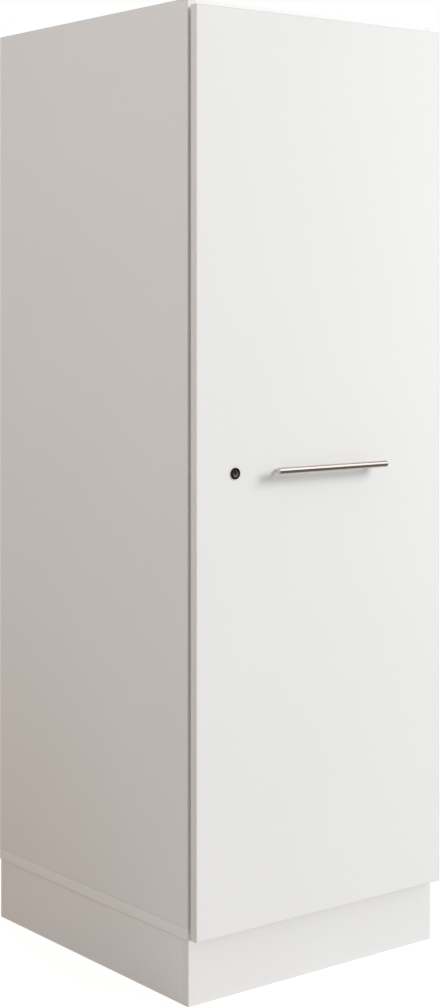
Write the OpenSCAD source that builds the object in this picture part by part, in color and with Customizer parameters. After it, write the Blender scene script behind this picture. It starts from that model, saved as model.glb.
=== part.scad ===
// Tall cabinet for a stacked washing machine and dryer: a white board carcass on a plinth,
// one full-height door on concealed hinges, a bar handle and a two-rod lock.
// Millimetres. X runs to the right, Y to the back, Z up from the floor.
// The origin is on the floor, midway between the sides and midway from the handle to the back.

/* [Carcass] */
// Width of the cabinet across both sides
cabinet_w = 670; // [660:1:760]
// Height of the cabinet from the floor
cabinet_h = 2000; // [1960:1:2200]
// Depth of the carcass without the door
carcass_d = 710; // [690:1:800]
// Thickness of the sides, top, rails and plinth boards
board_t = 19; // [18:0.5:22]
// Thickness of the board that the sides stand on
bottom_t = 23; // [20:0.5:28]
// Thickness of the edging on the carcass boards
edging_t = 1; // [0.6:0.1:2]
// Distance of the end fittings from the front and back of the carcass
joint_inset = 60; // [50:1:90]
// Distance from an end fitting to the dowel beside it
dowel_step = 64; // [40:1:96]

/* [Back] */
// Thickness of the two back panels
back_t = 8; // [6:0.5:10]
// Depth of the grooves that hold the back panels
groove_depth = 8; // [5:0.5:9]
// Height of each rail across the back
rail_h = 100; // [80:1:130]
// Distance of the wall fixing holes from each other
wall_hole_spacing = 400; // [300:1:460]
// Diameter of the wall fixing holes
wall_hole_d = 6.5; // [5:0.5:9]
// Width of the opening for the tap and the drain
service_w = 420; // [200:1:460]
// Height of the opening for the tap and the drain
service_h = 300; // [150:1:400]
// Height of that opening above the floor of the lower bay
service_sill = 180; // [140:1:260]
// Width of the air and cable opening behind the upper bay
vent_w = 300; // [150:1:400]
// Height of the air and cable opening
vent_h = 120; // [80:1:160]
// Height of that opening above the shelf
vent_sill = 260; // [140:1:400]
// Corner radius of the openings in the back
opening_corner_r = 20; // [8:1:35]

/* [Shelf] */
// Clear height from the floor of the lower bay to the shelf
lower_bay_h = 912; // [890:1:960]
// Thickness of the load-bearing shelf
shelf_t = 25; // [22:0.5:30]
// Distance of the shelf's front edge from the carcass front
shelf_setback = 30; // [26:1:60]
// Gap behind the shelf for hoses and cables
hose_gap = 45; // [30:1:80]
// Width of each leg of the steel angles under the shelf
angle_leg = 30; // [24:1:40]
// Wall thickness of the steel angles
angle_t = 2.5; // [2:0.25:4]
// Distance from each end of the shelf to the end of the angles
angle_inset = 20; // [10:1:60]
// Screws that hold each angle to its side
angle_screw_count = 5; // [3:1:7]

/* [Plinth] */
// Height of the plinth
plinth_h = 132; // [110:1:160]
// Distance of the plinth from each side face
plinth_side_inset = 3; // [0:0.5:5]
// Distance of the plinth from the carcass front
plinth_front_inset = 1; // [0:0.5:20]
// Distance between the two bearers under the bottom board
bearer_spacing = 224; // [160:1:300]
// Width of each corner block
block_w = 40; // [32:1:50]
// Height of each corner block
block_h = 45; // [35:1:60]

/* [Door] */
// Thickness of the door
door_t = 19; // [18:0.5:22]
// Gap between the door and the carcass front
door_gap = 8; // [7:0.25:10]
// Distance from each side face of the carcass to the door's edge
door_side_gap = 1.5; // [0.5:0.25:3]
// Distance from the top of the carcass down to the door
door_top_drop = 13; // [4:1:17]
// Distance from the underside of the carcass up to the door
door_bottom_lift = 2; // [0:0.5:6]
// Thickness of the edging round the door
door_edging_t = 1.5; // [1:0.25:2]
// Diameter of the rubber buffers
buffer_d = 10; // [8:0.5:14]
// Distance of the end buffers from the ends of the door
buffer_inset = 70; // [40:1:120]

/* [Hinges] */
// Number of hinges
hinge_count = 4; // [4, 6]
// Distance of the end hinges from the ends of the door
hinge_inset = 110; // [90:1:130]
// Diameter of the hinge cups
cup_d = 35; // [34:0.5:36]
// Depth of the hinge cups
cup_depth = 14; // [13.5:0.25:14.5]
// Wall thickness of the hinge cups
cup_wall = 1; // [0.8:0.1:1.2]
// Board left between a cup and the door's edge
cup_margin = 4; // [3.5:0.25:5]
// Distance of the hinge pin from the door's edge
pivot_inset = 11; // [10.5:0.25:11.5]
// Diameter of the hinge pins
pin_d = 3.5; // [3:0.25:3.75]
// Radius of the eye at the nose of each hinge arm
eye_r = 3.4; // [3.2:0.1:3.6]
// Thickness of the hinge arm's steel
arm_t = 2.4; // [2:0.1:2.8]
// Height of the hinge arm's nose
arm_h = 14; // [12:0.5:14.5]
// Reach of the arm's nose across the cup
arm_reach = 22.4; // [21:0.2:23]
// Bend radius of the arm
arm_bend_r = 4; // [3:0.25:5]
// Length of the arm from the pin into the carcass
arm_len = 96; // [92:1:110]
// Thickness of the mounting plates' base
plate_t = 3; // [2:0.25:4]
// Distance of the mounting plates' screws from the carcass front
plate_line = 37; // [35:0.5:40]
// Distance between the two screws of a mounting plate
plate_screw_spacing = 32; // [28:1:36]

/* [Handle] */
// Diameter of the handle bar
bar_d = 14; // [11:0.5:16]
// Length of the handle bar
bar_len = 296; // [280:1:360]
// Distance from the door's face to the axis of the bar
bar_reach = 29; // [27:1:36]
// Height of the bar above the floor
bar_z = 1056; // [1020:1:1090]
// Diameter of the posts
post_d = 8; // [7:0.5:9]
// Distance between the posts
post_spacing = 256; // [200:1:264]

/* [Lock] */
// Distance from the door's free edge to the axis of the lock
lock_inset = 97; // [85:1:130]
// Height of the lock above the floor
lock_z = 1054; // [1030:1:1080]
// Diameter of the black ring round the lock
rosette_d = 24; // [22:0.5:30]
// Thickness of the black ring
rosette_h = 3; // [2:0.25:5]
// Diameter of the barrel in the door
barrel_d = 18; // [17:0.5:20]
// Diameter of the plug that the key turns
plug_d = 14; // [12:0.5:15]
// Module of the rack and pinion
gear_module = 1; // [0.9:0.05:1.1]
// Teeth of the pinion, an even number
pinion_teeth = 10; // [10:2:12]
// Width of the lock rods
rod_w = 6; // [5:0.5:8]
// Thickness of the lock rods
rod_t = 4; // [3:0.25:5]
// Thickness of the sheet of the keepers
keeper_t = 2.5; // [2:0.25:3]
// Length of the lip that holds a rod's tip
keeper_lip = 18; // [17:0.5:22]
// Width of each keeper
keeper_w = 30; // [26:1:40]
// Wall thickness of the lock case
case_wall = 1.5; // [1:0.25:2]

/* [Hidden] */

$fn = 48;

// Clearances
fit = 0.05;
slack = 0.3;
seam = 0.1;
through = 1;

// Colours
white_board = [0.93, 0.92, 0.91];
white_edge = [0.88, 0.87, 0.85];
beech = [0.80, 0.66, 0.47];
zinc = [0.72, 0.73, 0.75];
nickel = [0.78, 0.77, 0.74];
satin_steel = [0.74, 0.73, 0.71];
black_plastic = [0.06, 0.06, 0.06];
grey_metal = [0.50, 0.50, 0.51];
grey_rubber = [0.55, 0.55, 0.54];
white_plastic = [0.90, 0.90, 0.89];

// Screws: shank radius, shank length, head radius, head height
board_screw = [2.5, 48, 5, 4];
angle_screw = [2.25, 14, 4.2, 2.6];
panel_screw = [1.75, 18, 3.5, 1.8];
block_screw = [2.5, block_h + 16, 4.8, 3.4];
cup_screw = [1.75, 12, 3.6, 2];
plate_screw = [2.5, 13, 4.2, 2.4];
clamp_screw = [2, 8, 3.6, 2.2];
adjuster = [1.5, 7, 2.6, 1.2];
handle_screw = [2, door_t + 10, 4, 2.4];
case_screw = [1.6, 12, 3.2, 2];
keeper_screw = [2, 14, 3.8, 2.2];

// Carcass
half_w = cabinet_w / 2;
inner_x = half_w - board_t;
floor_z = plinth_h + bottom_t;
roof_z = cabinet_h - board_t;
top_mid_z = cabinet_h - board_t / 2;
back_y = carcass_d - board_t - back_t;
rail_y = carcass_d - board_t;
rail_mid_y = carcass_d - board_t / 2;
side_mid_x = half_w - board_t / 2;
groove_slack = 0.1;
fitting_y = [joint_inset, carcass_d / 2, carcass_d - joint_inset];
dowel_y = [joint_inset + dowel_step, carcass_d - joint_inset - dowel_step];
dowel_r = 4;
dowel_in_face = 12;
dowel_in_end = 18;
cam_r = 7.5;
cam_h = 12.7;
cam_setback = 34;
bolt_r = 2.5;
bolt_grip = 11;

// Shelf and back
shelf_z = floor_z + lower_bay_h;
shelf_y1 = back_y - hose_gap;
shelf_side_gap = 0.5;
split_z = shelf_z + shelf_t / 2;
split_gap = 1;
rail_z = [floor_z, split_z - rail_h / 2, roof_z - rail_h];
rail_dowel_z = [for (z = rail_z) for (f = [0.25, 0.75]) z + f * rail_h];
angle_y0 = shelf_setback + angle_inset;
angle_y1 = shelf_y1 - angle_inset;
angle_screw_inset = 25;
angle_screw_y = [for (i = [0:angle_screw_count - 1])
    angle_y0 + angle_screw_inset
    + i * (angle_y1 - angle_y0 - 2 * angle_screw_inset) / (angle_screw_count - 1)];
shelf_screw_y = [angle_screw_y[0] + 20, angle_screw_y[angle_screw_count - 1] - 20];
panel_screw_inset = 45;
panel_screw_x = [-inner_x + panel_screw_inset, 0, inner_x - panel_screw_inset];
panel_screw_edge = 12;
panel_screw_z = [rail_z[0] + rail_h / 2, split_z - panel_screw_edge,
                 split_z + panel_screw_edge, rail_z[2] + rail_h / 2];
wall_hole_z = rail_z[2] + rail_h / 2;

// Plinth
plinth_x = half_w - plinth_side_inset;
plinth_y0 = plinth_front_inset;
plinth_inner_y0 = plinth_y0 + board_t;
plinth_inner_y1 = carcass_d - board_t;
plinth_dowel_z = [plinth_h / 4, plinth_h * 3 / 4];
plinth_dowel_x = [-(plinth_x - board_t / 2), -bearer_spacing / 2,
                  bearer_spacing / 2, plinth_x - board_t / 2];

// Door
door_back_y = -door_gap;
door_front_y = -door_gap - door_t;
door_x = half_w - door_side_gap;
door_z0 = plinth_h + door_bottom_lift;
door_z1 = cabinet_h - door_top_drop;
buffer_z = [door_z0 + buffer_inset, (door_z0 + door_z1) / 2, door_z1 - buffer_inset];
buffer_root_r = 2.5;
buffer_root_l = 8;

// Handle and frame
bar_y = door_front_y - bar_reach;
handle_front_y = bar_y - bar_d / 2;
frame_y = -(carcass_d + handle_front_y) / 2;

// Hinges, all from the axis of the pins
cup_r = cup_d / 2;
pivot_depth = cup_depth - cup_wall - eye_r - slack;
pivot_x = door_x - pivot_inset;
pivot_y = door_back_y - pivot_depth;
cup_to_pivot = cup_margin + cup_r - pivot_inset;
hinge_pitch = (door_z1 - door_z0 - 2 * hinge_inset) / (hinge_count - 1);
hinge_z = [for (i = [0:hinge_count - 1]) door_z0 + hinge_inset + i * hinge_pitch];
flange_t = 1;
flange_r = cup_r + 1.6;
flange_bar = 6;
cup_screw_drop = 6;
cup_screw_spacing = 48;
lug_h = 3.2;
pin_l = arm_h + 2 * slack + 2 * lug_h;
web_x = pivot_x - arm_reach;
web_inner_x = web_x + arm_t;
rib_half = arm_h / 2 - 1.5;
arm_flange_t = 1.2;
arm_flange_l = 6;
arm_flange_y0 = 16 - pivot_y;
plate_y0 = 20;
plate_y1 = arm_len + pivot_y - 4;
plate_wing = 6;
plate_wing_h = plate_screw_spacing / 2 + 6.5;
clamp_y = plate_y1 - 10;
adjuster_y = plate_y0 + 10;

// Lock
lock_x = -(door_x - lock_inset);
pitch_r = gear_module * pinion_teeth / 2;
pressure_angle = 25;
base_r = pitch_r * cos(pressure_angle);
addendum = 0.8 * gear_module;
dedendum = 1.1 * gear_module;
backlash = 0.2;
tooth_pitch = gear_module * PI;
tooth_t = tooth_pitch / 2 - backlash;
rod_travel = pitch_r * PI;
travel_teeth = ceil(rod_travel / tooth_pitch);
rack_root = pitch_r + dedendum;
rack_end = (travel_teeth + 1.7) * tooth_pitch;
keeper_play = 1.5;
rod_y0 = keeper_t + keeper_play;
rod_y1 = rod_y0 + rod_t;
pinion_y0 = rod_y0 - 0.5;
pinion_y1 = rod_y1 + 0.5;
barrel_r = barrel_d / 2;
plug_r = plug_d / 2;
barrel_y1 = pinion_y0 - slack;
plug_back_y = barrel_y1 - 2;
plug_proud = 2;
tail_w = 5;
case_x = rack_root + rod_w + slack + case_wall;
case_z = rack_end + slack + case_wall;
case_y1 = pinion_y1 + slack + case_wall;
case_ear = 9;
case_screw_z = case_z - 8;
rod_mid = rack_root + rod_w / 2;
rod_x_upper = lock_x - rod_mid;
rod_x_lower = lock_x + rod_mid;
rod_clear = 2;
rod_top_z = roof_z - keeper_lip - rod_clear;
rod_bottom_z = floor_z + keeper_lip + rod_clear;
rod_tip = 3;
guide_w = rod_w + 8;
guide_h = 14;
guide_ear = 8;
guide_ear_t = 3;
guide_roof = 2;
guide_y1 = rod_y1 + slack + guide_roof;
guide_end = 70;
guide_z_upper = [(lock_z + rod_top_z) / 2, rod_top_z - guide_end];
guide_z_lower = [(lock_z + rod_bottom_z) / 2, rod_bottom_z + guide_end];
guide_places = [for (z = guide_z_upper) [rod_x_upper, z], for (z = guide_z_lower) [rod_x_lower, z]];
guide_screw_x = guide_w / 2 + guide_ear / 2;
keeper_leg = 28;
keeper_screw_x = keeper_w / 2 - 6;
keeper_screw_y = keeper_leg - 8;

// Moves a piece from the carcass front plane to the frame of the whole part.
module placed(tint) {
    color(tint) translate([0, frame_y, 0]) children();
}

// A box between two corners.
module block(low, high) {
    translate(low) cube(high - low);
}

// A round hole or rod whose local Z points from a place in the given direction.
module aimed(place, direction) {
    turn = direction.x != 0 ? [0, 90 * direction.x, 0]
        : direction.y != 0 ? [-90 * direction.y, 0, 0]
        : direction.z < 0 ? [180, 0, 0] : [0, 0, 0];
    translate(place) rotate(turn) children();
}

// A screw with its head above the local XY plane, its shank below, and a cross in the head.
module screw(size) {
    cross_w = size[2] * 0.3;
    cross_l = size[2] * 1.1;
    cross_h = size[3] * 0.6;
    difference() {
        union() {
            translate([0, 0, -size[1]]) cylinder(r = size[0], h = size[1] + size[3] / 2);
            cylinder(r = size[2], h = size[3]);
        }
        for (a = [0, 90]) rotate([0, 0, a])
            translate([-cross_l / 2, -cross_w / 2, size[3] - cross_h])
                cube([cross_l, cross_w, cross_h + through]);
    }
}

// The hole for a screw's shank, from just above the local XY plane down.
module screw_hole(size) {
    translate([0, 0, -size[1] - 1]) cylinder(r = size[0] + fit, h = size[1] + 1 + through);
}

// A dowel that crosses the local XY plane, or the hole for it.
module dowel(in_face, in_end, hole = false) {
    room = hole ? 1 : 0;
    translate([0, 0, -in_end - room])
        cylinder(r = dowel_r + (hole ? fit : 0), h = in_face + in_end + 2 * room);
}

// Everything that crosses the inner face of a side: s is -1 on the left and 1 on the right.
module side_dowels(s, hole) {
    for (y = dowel_y) aimed([s * inner_x, y, top_mid_z], [s, 0, 0])
        dowel(dowel_in_face, dowel_in_end, hole);
    for (z = rail_dowel_z) aimed([s * inner_x, rail_mid_y, z], [s, 0, 0])
        dowel(dowel_in_face, dowel_in_end, hole);
}

// The dowels between a side's lower edge and the bottom board.
module foot_dowels(s, hole) {
    for (y = dowel_y) aimed([s * side_mid_x, y, floor_z], [0, 0, -1])
        dowel(bottom_t / 2, dowel_in_end, hole);
}

// The screws up through the bottom board into a side's lower edge.
module foot_screws(s) {
    for (y = fitting_y) aimed([s * side_mid_x, y, plinth_h + board_screw[3]], [0, 0, -1]) children();
}

module top_bolt(s, y, hole) {
    r = bolt_r + (hole ? fit : 0);
    room = hole ? 0.5 : 0;
    aimed([s * inner_x, y, top_mid_z], [s, 0, 0]) {
        translate([0, 0, -cam_setback]) cylinder(r = r, h = cam_setback + bolt_grip + room);
    }
}

module angle_screws(s) {
    for (y = angle_screw_y)
        aimed([s * (inner_x - angle_t), y, shelf_z - angle_leg / 2], [-s, 0, 0]) children();
}

module shelf_screws(s) {
    for (y = shelf_screw_y)
        aimed([s * (inner_x - angle_leg / 2), y, shelf_z - angle_t], [0, 0, -1]) children();
}

module panel_screws() {
    for (x = panel_screw_x) for (z = panel_screw_z)
        aimed([x, back_y, z], [0, -1, 0]) children();
}

module wall_holes() {
    for (s = [-1, 1])
        aimed([s * wall_hole_spacing / 2, back_y - through, wall_hole_z], [0, 1, 0])
            cylinder(r = wall_hole_d / 2, h = carcass_d - back_y + 2 * through);
}

module keeper_screw_places() {
    for (s = [-1, 1]) {
        aimed([rod_x_upper + s * keeper_screw_x, keeper_screw_y, roof_z - keeper_t], [0, 0, -1])
            children();
        aimed([rod_x_lower + s * keeper_screw_x, keeper_screw_y, floor_z + keeper_t], [0, 0, 1])
            children();
    }
}

module plinth_dowel_set(hole) {
    for (x = plinth_dowel_x) for (z = plinth_dowel_z) {
        aimed([x, plinth_inner_y0, z], [0, -1, 0]) dowel(dowel_in_face, dowel_in_end, hole);
        aimed([x, plinth_inner_y1, z], [0, 1, 0]) dowel(dowel_in_face, dowel_in_end, hole);
    }
}

module block_corners() {
    x = plinth_x - board_t;
    for (s = [-1, 1]) {
        translate([s * (x - block_w / 2), plinth_inner_y0 + block_w / 2, 0]) children();
        translate([s * (x - block_w / 2), plinth_inner_y1 - block_w / 2, 0]) children();
    }
}

module plinth_screw_places() {
    block_corners() aimed([0, 0, plinth_h - block_h], [0, 0, -1]) children();
}

// Places its children at the pin axis of each hinge.
module at_hinges() {
    for (z = hinge_z) translate([pivot_x, pivot_y, z]) children();
}

// Places its children on a cup's axis at the back of the door, with Z into the door.
module at_cups() {
    at_hinges() translate([-cup_to_pivot, pivot_depth, 0]) rotate([90, 0, 0]) children();
}

module cup_screw_places() {
    at_cups() for (s = [-1, 1])
        translate([-cup_screw_drop, s * cup_screw_spacing / 2, -flange_t]) rotate([180, 0, 0])
            children();
}

module plate_screw_places() {
    for (z = hinge_z) for (s = [-1, 1])
        aimed([inner_x - plate_t, plate_line, z + s * plate_screw_spacing / 2], [-1, 0, 0])
            children();
}

module case_screw_places() {
    for (sx = [-1, 1]) for (sz = [-1, 1])
        aimed([lock_x + sx * (case_x + case_ear / 2), door_back_y + case_wall,
               lock_z + sz * case_screw_z], [0, 1, 0]) children();
}

module guide_screw_places() {
    for (p = guide_places) for (s = [-1, 1])
        aimed([p.x + s * guide_screw_x, door_back_y + guide_ear_t, p.y], [0, 1, 0]) children();
}

module post_places() {
    for (s = [-1, 1]) translate([s * post_spacing / 2, 0, bar_z]) children();
}

module side_panel(s) {
    low_x = s > 0 ? inner_x : -half_w;
    groove_x = s > 0 ? inner_x - through : -inner_x - groove_depth;
    difference() {
        block([low_x, edging_t, floor_z], [low_x + board_t, carcass_d, cabinet_h]);
        block([groove_x, back_y - groove_slack, floor_z - through],
              [groove_x + groove_depth + through, back_y + back_t + groove_slack,
               roof_z + groove_slack]);
        side_dowels(s, true);
        foot_dowels(s, true);
        foot_screws(s) screw_hole(board_screw);
        angle_screws(s) screw_hole(angle_screw);
        for (y = fitting_y) top_bolt(s, y, true);
        if (s > 0) plate_screw_places() screw_hole(plate_screw);
    }
}

module side_panel_left() {
    placed(white_board) side_panel(-1);
}

module side_panel_right() {
    placed(white_board) side_panel(1);
}

module top_panel() {
    placed(white_board) difference() {
        block([-inner_x, edging_t, roof_z], [inner_x, carcass_d, cabinet_h]);
        for (s = [-1, 1]) {
            side_dowels(s, true);
            for (y = fitting_y) {
                top_bolt(s, y, true);
                translate([s * (inner_x - cam_setback), y, cabinet_h - cam_h])
                    cylinder(r = cam_r + fit, h = cam_h + through);
            }
        }
        keeper_screw_places() screw_hole(keeper_screw);
    }
}

module bottom_board() {
    placed(white_board) difference() {
        block([-half_w + edging_t, edging_t, plinth_h], [half_w - edging_t, carcass_d, floor_z]);
        for (s = [-1, 1]) {
            foot_dowels(s, true);
            foot_screws(s) {
                screw_hole(board_screw);
                cylinder(r = board_screw[2] + fit, h = board_screw[3] + through);
            }
        }
        plinth_screw_places() screw_hole(block_screw);
        keeper_screw_places() screw_hole(keeper_screw);
    }
}

module mid_shelf() {
    placed(white_board) difference() {
        block([-inner_x + shelf_side_gap, shelf_setback + edging_t, shelf_z],
              [inner_x - shelf_side_gap, shelf_y1, shelf_z + shelf_t]);
        for (s = [-1, 1]) shelf_screws(s) screw_hole(angle_screw);
    }
}

// A rounded opening through the back, centred on X.
module back_opening(width, height, low_z) {
    r = opening_corner_r;
    translate([0, back_y + back_t + through, low_z]) rotate([90, 0, 0])
        linear_extrude(back_t + 2 * through) {
            translate([-width / 2 + r, 0]) square([width - 2 * r, height]);
            translate([-width / 2, r]) square([width, height - 2 * r]);
            for (x = [-width / 2 + r, width / 2 - r]) for (y = [r, height - r])
                translate([x, y]) circle(r = r);
        }
}

module back_panel(low_z, high_z) {
    x = inner_x + groove_depth - groove_slack;
    difference() {
        block([-x, back_y, low_z], [x, back_y + back_t, high_z]);
        panel_screws() screw_hole(panel_screw);
        wall_holes();
        children();
    }
}

module back_panel_lower() {
    placed(white_board) back_panel(floor_z, split_z - split_gap / 2)
        back_opening(service_w, service_h, floor_z + service_sill);
}

module back_panel_upper() {
    placed(white_board) back_panel(split_z + split_gap / 2, roof_z)
        back_opening(vent_w, vent_h, shelf_z + shelf_t + vent_sill);
}

module back_rail(low_z) {
    difference() {
        block([-inner_x, rail_y, low_z], [inner_x, carcass_d, low_z + rail_h]);
        for (s = [-1, 1]) side_dowels(s, true);
        panel_screws() screw_hole(panel_screw);
        wall_holes();
    }
}

module back_rail_bottom() {
    placed(white_board) back_rail(rail_z[0]);
}

module back_rail_middle() {
    placed(white_board) back_rail(rail_z[1]);
}

module back_rail_top() {
    placed(white_board) back_rail(rail_z[2]);
}

// The strips on the front edges, and on the two ends of the bottom board.
module carcass_edging() {
    placed(white_edge) {
        for (s = [-1, 1]) {
            low_x = s > 0 ? inner_x : -half_w;
            end_x = s > 0 ? half_w - edging_t : -half_w;
            block([low_x, 0, floor_z + seam], [low_x + board_t, edging_t, cabinet_h]);
            block([end_x, edging_t + seam, plinth_h], [end_x + edging_t, carcass_d, floor_z]);
        }
        block([-inner_x + seam, 0, roof_z], [inner_x - seam, edging_t, cabinet_h]);
        block([-half_w, 0, plinth_h], [half_w, edging_t, floor_z]);
        block([-inner_x + shelf_side_gap, shelf_setback, shelf_z],
              [inner_x - shelf_side_gap, shelf_setback + edging_t, shelf_z + shelf_t]);
    }
}

module carcass_dowels() {
    placed(beech) for (s = [-1, 1]) {
        side_dowels(s, false);
        foot_dowels(s, false);
    }
}

module top_cam_bolts() {
    placed(zinc) for (s = [-1, 1]) for (y = fitting_y) top_bolt(s, y, false);
}

// The round cams in the top panel, each with a cross and a bore for its bolt.
module top_cams() {
    cross_w = 1.6;
    cross_l = 8;
    cross_h = 2.5;
    placed(zinc) for (s = [-1, 1]) for (y = fitting_y) difference() {
        translate([s * (inner_x - cam_setback), y, cabinet_h - cam_h]) difference() {
            cylinder(r = cam_r, h = cam_h - slack);
            for (a = [0, 90]) rotate([0, 0, a])
                translate([-cross_l / 2, -cross_w / 2, cam_h - slack - cross_h])
                    cube([cross_l, cross_w, cross_h + through]);
        }
        top_bolt(s, y, true);
    }
}

module bottom_board_screws() {
    placed(zinc) for (s = [-1, 1]) foot_screws(s) screw(board_screw);
}

module back_panel_screws() {
    placed(zinc) panel_screws() screw(panel_screw);
}

module shelf_angles() {
    placed(white_plastic) for (s = [-1, 1]) difference() {
        union() {
            block([s > 0 ? inner_x - angle_t : -inner_x, angle_y0, shelf_z - angle_leg],
                  [s > 0 ? inner_x : -inner_x + angle_t, angle_y1, shelf_z]);
            block([s > 0 ? inner_x - angle_leg : -inner_x, angle_y0, shelf_z - angle_t],
                  [s > 0 ? inner_x : -inner_x + angle_leg, angle_y1, shelf_z]);
        }
        angle_screws(s) screw_hole(angle_screw);
        shelf_screws(s) screw_hole(angle_screw);
    }
}

module shelf_angle_screws() {
    placed(zinc) for (s = [-1, 1]) {
        angle_screws(s) screw(angle_screw);
        shelf_screws(s) screw(angle_screw);
    }
}

module plinth_front() {
    placed(white_board) difference() {
        block([-plinth_x, plinth_y0, 0], [plinth_x, plinth_inner_y0, plinth_h]);
        plinth_dowel_set(true);
    }
}

module plinth_back() {
    placed(white_board) difference() {
        block([-plinth_x, plinth_inner_y1, 0], [plinth_x, carcass_d, plinth_h]);
        plinth_dowel_set(true);
    }
}

// A plinth board that runs from the front board to the back board.
module plinth_runner(low_x) {
    difference() {
        block([low_x, plinth_inner_y0, 0], [low_x + board_t, plinth_inner_y1, plinth_h]);
        plinth_dowel_set(true);
    }
}

module plinth_left() {
    placed(white_board) plinth_runner(-plinth_x);
}

module plinth_right() {
    placed(white_board) plinth_runner(plinth_x - board_t);
}

module plinth_bearers() {
    placed(white_board) for (s = [-1, 1]) plinth_runner(s * bearer_spacing / 2 - board_t / 2);
}

module plinth_blocks() {
    placed(beech) difference() {
        block_corners() block([-block_w / 2, -block_w / 2, plinth_h - block_h],
                              [block_w / 2, block_w / 2, plinth_h]);
        plinth_screw_places() screw_hole(block_screw);
    }
}

module plinth_dowels() {
    placed(beech) plinth_dowel_set(false);
}

module plinth_screws() {
    placed(zinc) plinth_screw_places() screw(block_screw);
}

module door_panel() {
    x = door_x - door_edging_t;
    placed(white_board) difference() {
        block([-x, door_front_y, door_z0 + door_edging_t], [x, door_back_y, door_z1 - door_edging_t]);
        at_cups() translate([0, 0, -through]) cylinder(r = cup_r, h = cup_depth + through);
        cup_screw_places() screw_hole(cup_screw);
        aimed([lock_x, door_front_y - through, lock_z], [0, 1, 0])
            cylinder(r = barrel_r + fit, h = door_t + 2 * through);
        case_screw_places() screw_hole(case_screw);
        guide_screw_places() screw_hole(case_screw);
        post_places() aimed([0, door_front_y - through, 0], [0, 1, 0])
            cylinder(r = handle_screw[0] + fit, h = door_t + 2 * through);
        for (z = buffer_z) aimed([-side_mid_x, door_back_y + through, z], [0, -1, 0])
            cylinder(r = buffer_root_r + fit, h = buffer_root_l + 2 * through);
    }
}

module door_edging() {
    t = door_edging_t;
    placed(white_edge) {
        for (s = [-1, 1]) {
            low_x = s > 0 ? door_x - t : -door_x;
            low_z = s > 0 ? door_z1 - t : door_z0;
            block([low_x, door_front_y, door_z0], [low_x + t, door_back_y, door_z1]);
            block([-door_x + t + seam, door_front_y, low_z],
                  [door_x - t - seam, door_back_y, low_z + t]);
        }
    }
}

module door_buffers() {
    placed(grey_rubber) for (z = buffer_z) aimed([-side_mid_x, door_back_y, z], [0, 1, 0]) {
        cylinder(r = buffer_d / 2, h = door_gap - slack);
        translate([0, 0, -buffer_root_l]) cylinder(r = buffer_root_r, h = buffer_root_l + 1);
    }
}

module flange_outline() {
    circle(r = flange_r);
    translate([-cup_screw_drop - flange_bar, -cup_screw_spacing / 2])
        square([2 * flange_bar, cup_screw_spacing]);
    for (s = [-1, 1]) translate([-cup_screw_drop, s * cup_screw_spacing / 2])
        circle(r = flange_bar);
}

// The two lugs in a cup that hold the ends of its pin.
module cup_lugs() {
    low_y = arm_h / 2 + slack;
    intersection() {
        cylinder(r = cup_r - cup_wall / 2, h = cup_depth - cup_wall / 2);
        for (s = [-1, 1]) translate([cup_to_pivot - eye_r, s > 0 ? low_y : -low_y - lug_h,
                                     pivot_depth - eye_r])
            cube([cup_r, lug_h, cup_depth]);
    }
}

module hinge_cups() {
    placed(nickel) at_cups() difference() {
        union() {
            cylinder(r = cup_r - fit, h = cup_depth - fit);
            translate([0, 0, -flange_t]) linear_extrude(flange_t) flange_outline();
        }
        difference() {
            translate([0, 0, -flange_t - through])
                cylinder(r = cup_r - cup_wall, h = cup_depth - cup_wall + flange_t + through);
            cup_lugs();
        }
        translate([cup_to_pivot, pin_l / 2, pivot_depth]) rotate([90, 0, 0])
            cylinder(r = pin_d / 2 + fit / 2, h = pin_l);
        for (s = [-1, 1]) translate([-cup_screw_drop, s * cup_screw_spacing / 2, -flange_t])
            rotate([180, 0, 0]) screw_hole(cup_screw);
    }
}

module hinge_cup_screws() {
    placed(zinc) cup_screw_places() screw(cup_screw);
}

module hinge_pins() {
    placed(zinc) at_hinges() cylinder(r = pin_d / 2, h = pin_l, center = true);
}

// The plan of an arm: an eye, a nose across the cup, a bend and a straight web.
module arm_plan() {
    bend_x = -arm_reach + arm_bend_r;
    bend_y = -arm_t / 2 + arm_bend_r;
    difference() {
        union() {
            circle(r = eye_r);
            translate([bend_x, -arm_t / 2]) square([-bend_x, arm_t]);
            intersection() {
                translate([bend_x, bend_y]) difference() {
                    circle(r = arm_bend_r);
                    circle(r = arm_bend_r - arm_t);
                }
                translate([-arm_reach, -arm_t / 2]) square([arm_bend_r, arm_bend_r]);
            }
            translate([-arm_reach, bend_y]) square([arm_t, arm_len - bend_y]);
        }
        circle(r = pin_d / 2 + fit);
    }
}

module web_screw_holes() {
    for (y = [clamp_y, adjuster_y]) aimed([web_x - through, y, 0], [1, 0, 0])
        cylinder(r = (y == clamp_y ? clamp_screw[0] : adjuster[0]) + fit,
                 h = clamp_screw[1] + 2);
}

module hinge_arms() {
    low_x = -arm_reach + arm_t - fit;
    placed(nickel) at_hinges() difference() {
        union() {
            translate([0, 0, -arm_h / 2]) linear_extrude(arm_h) arm_plan();
            for (s = [-1, 1]) {
                low_z = s > 0 ? arm_h / 2 - arm_flange_t : -arm_h / 2;
                block([low_x, arm_flange_y0, low_z],
                      [low_x + arm_flange_l, arm_len, low_z + arm_flange_t]);
            }
        }
        translate([-pivot_x, -pivot_y, 0]) web_screw_holes();
    }
}

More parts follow.
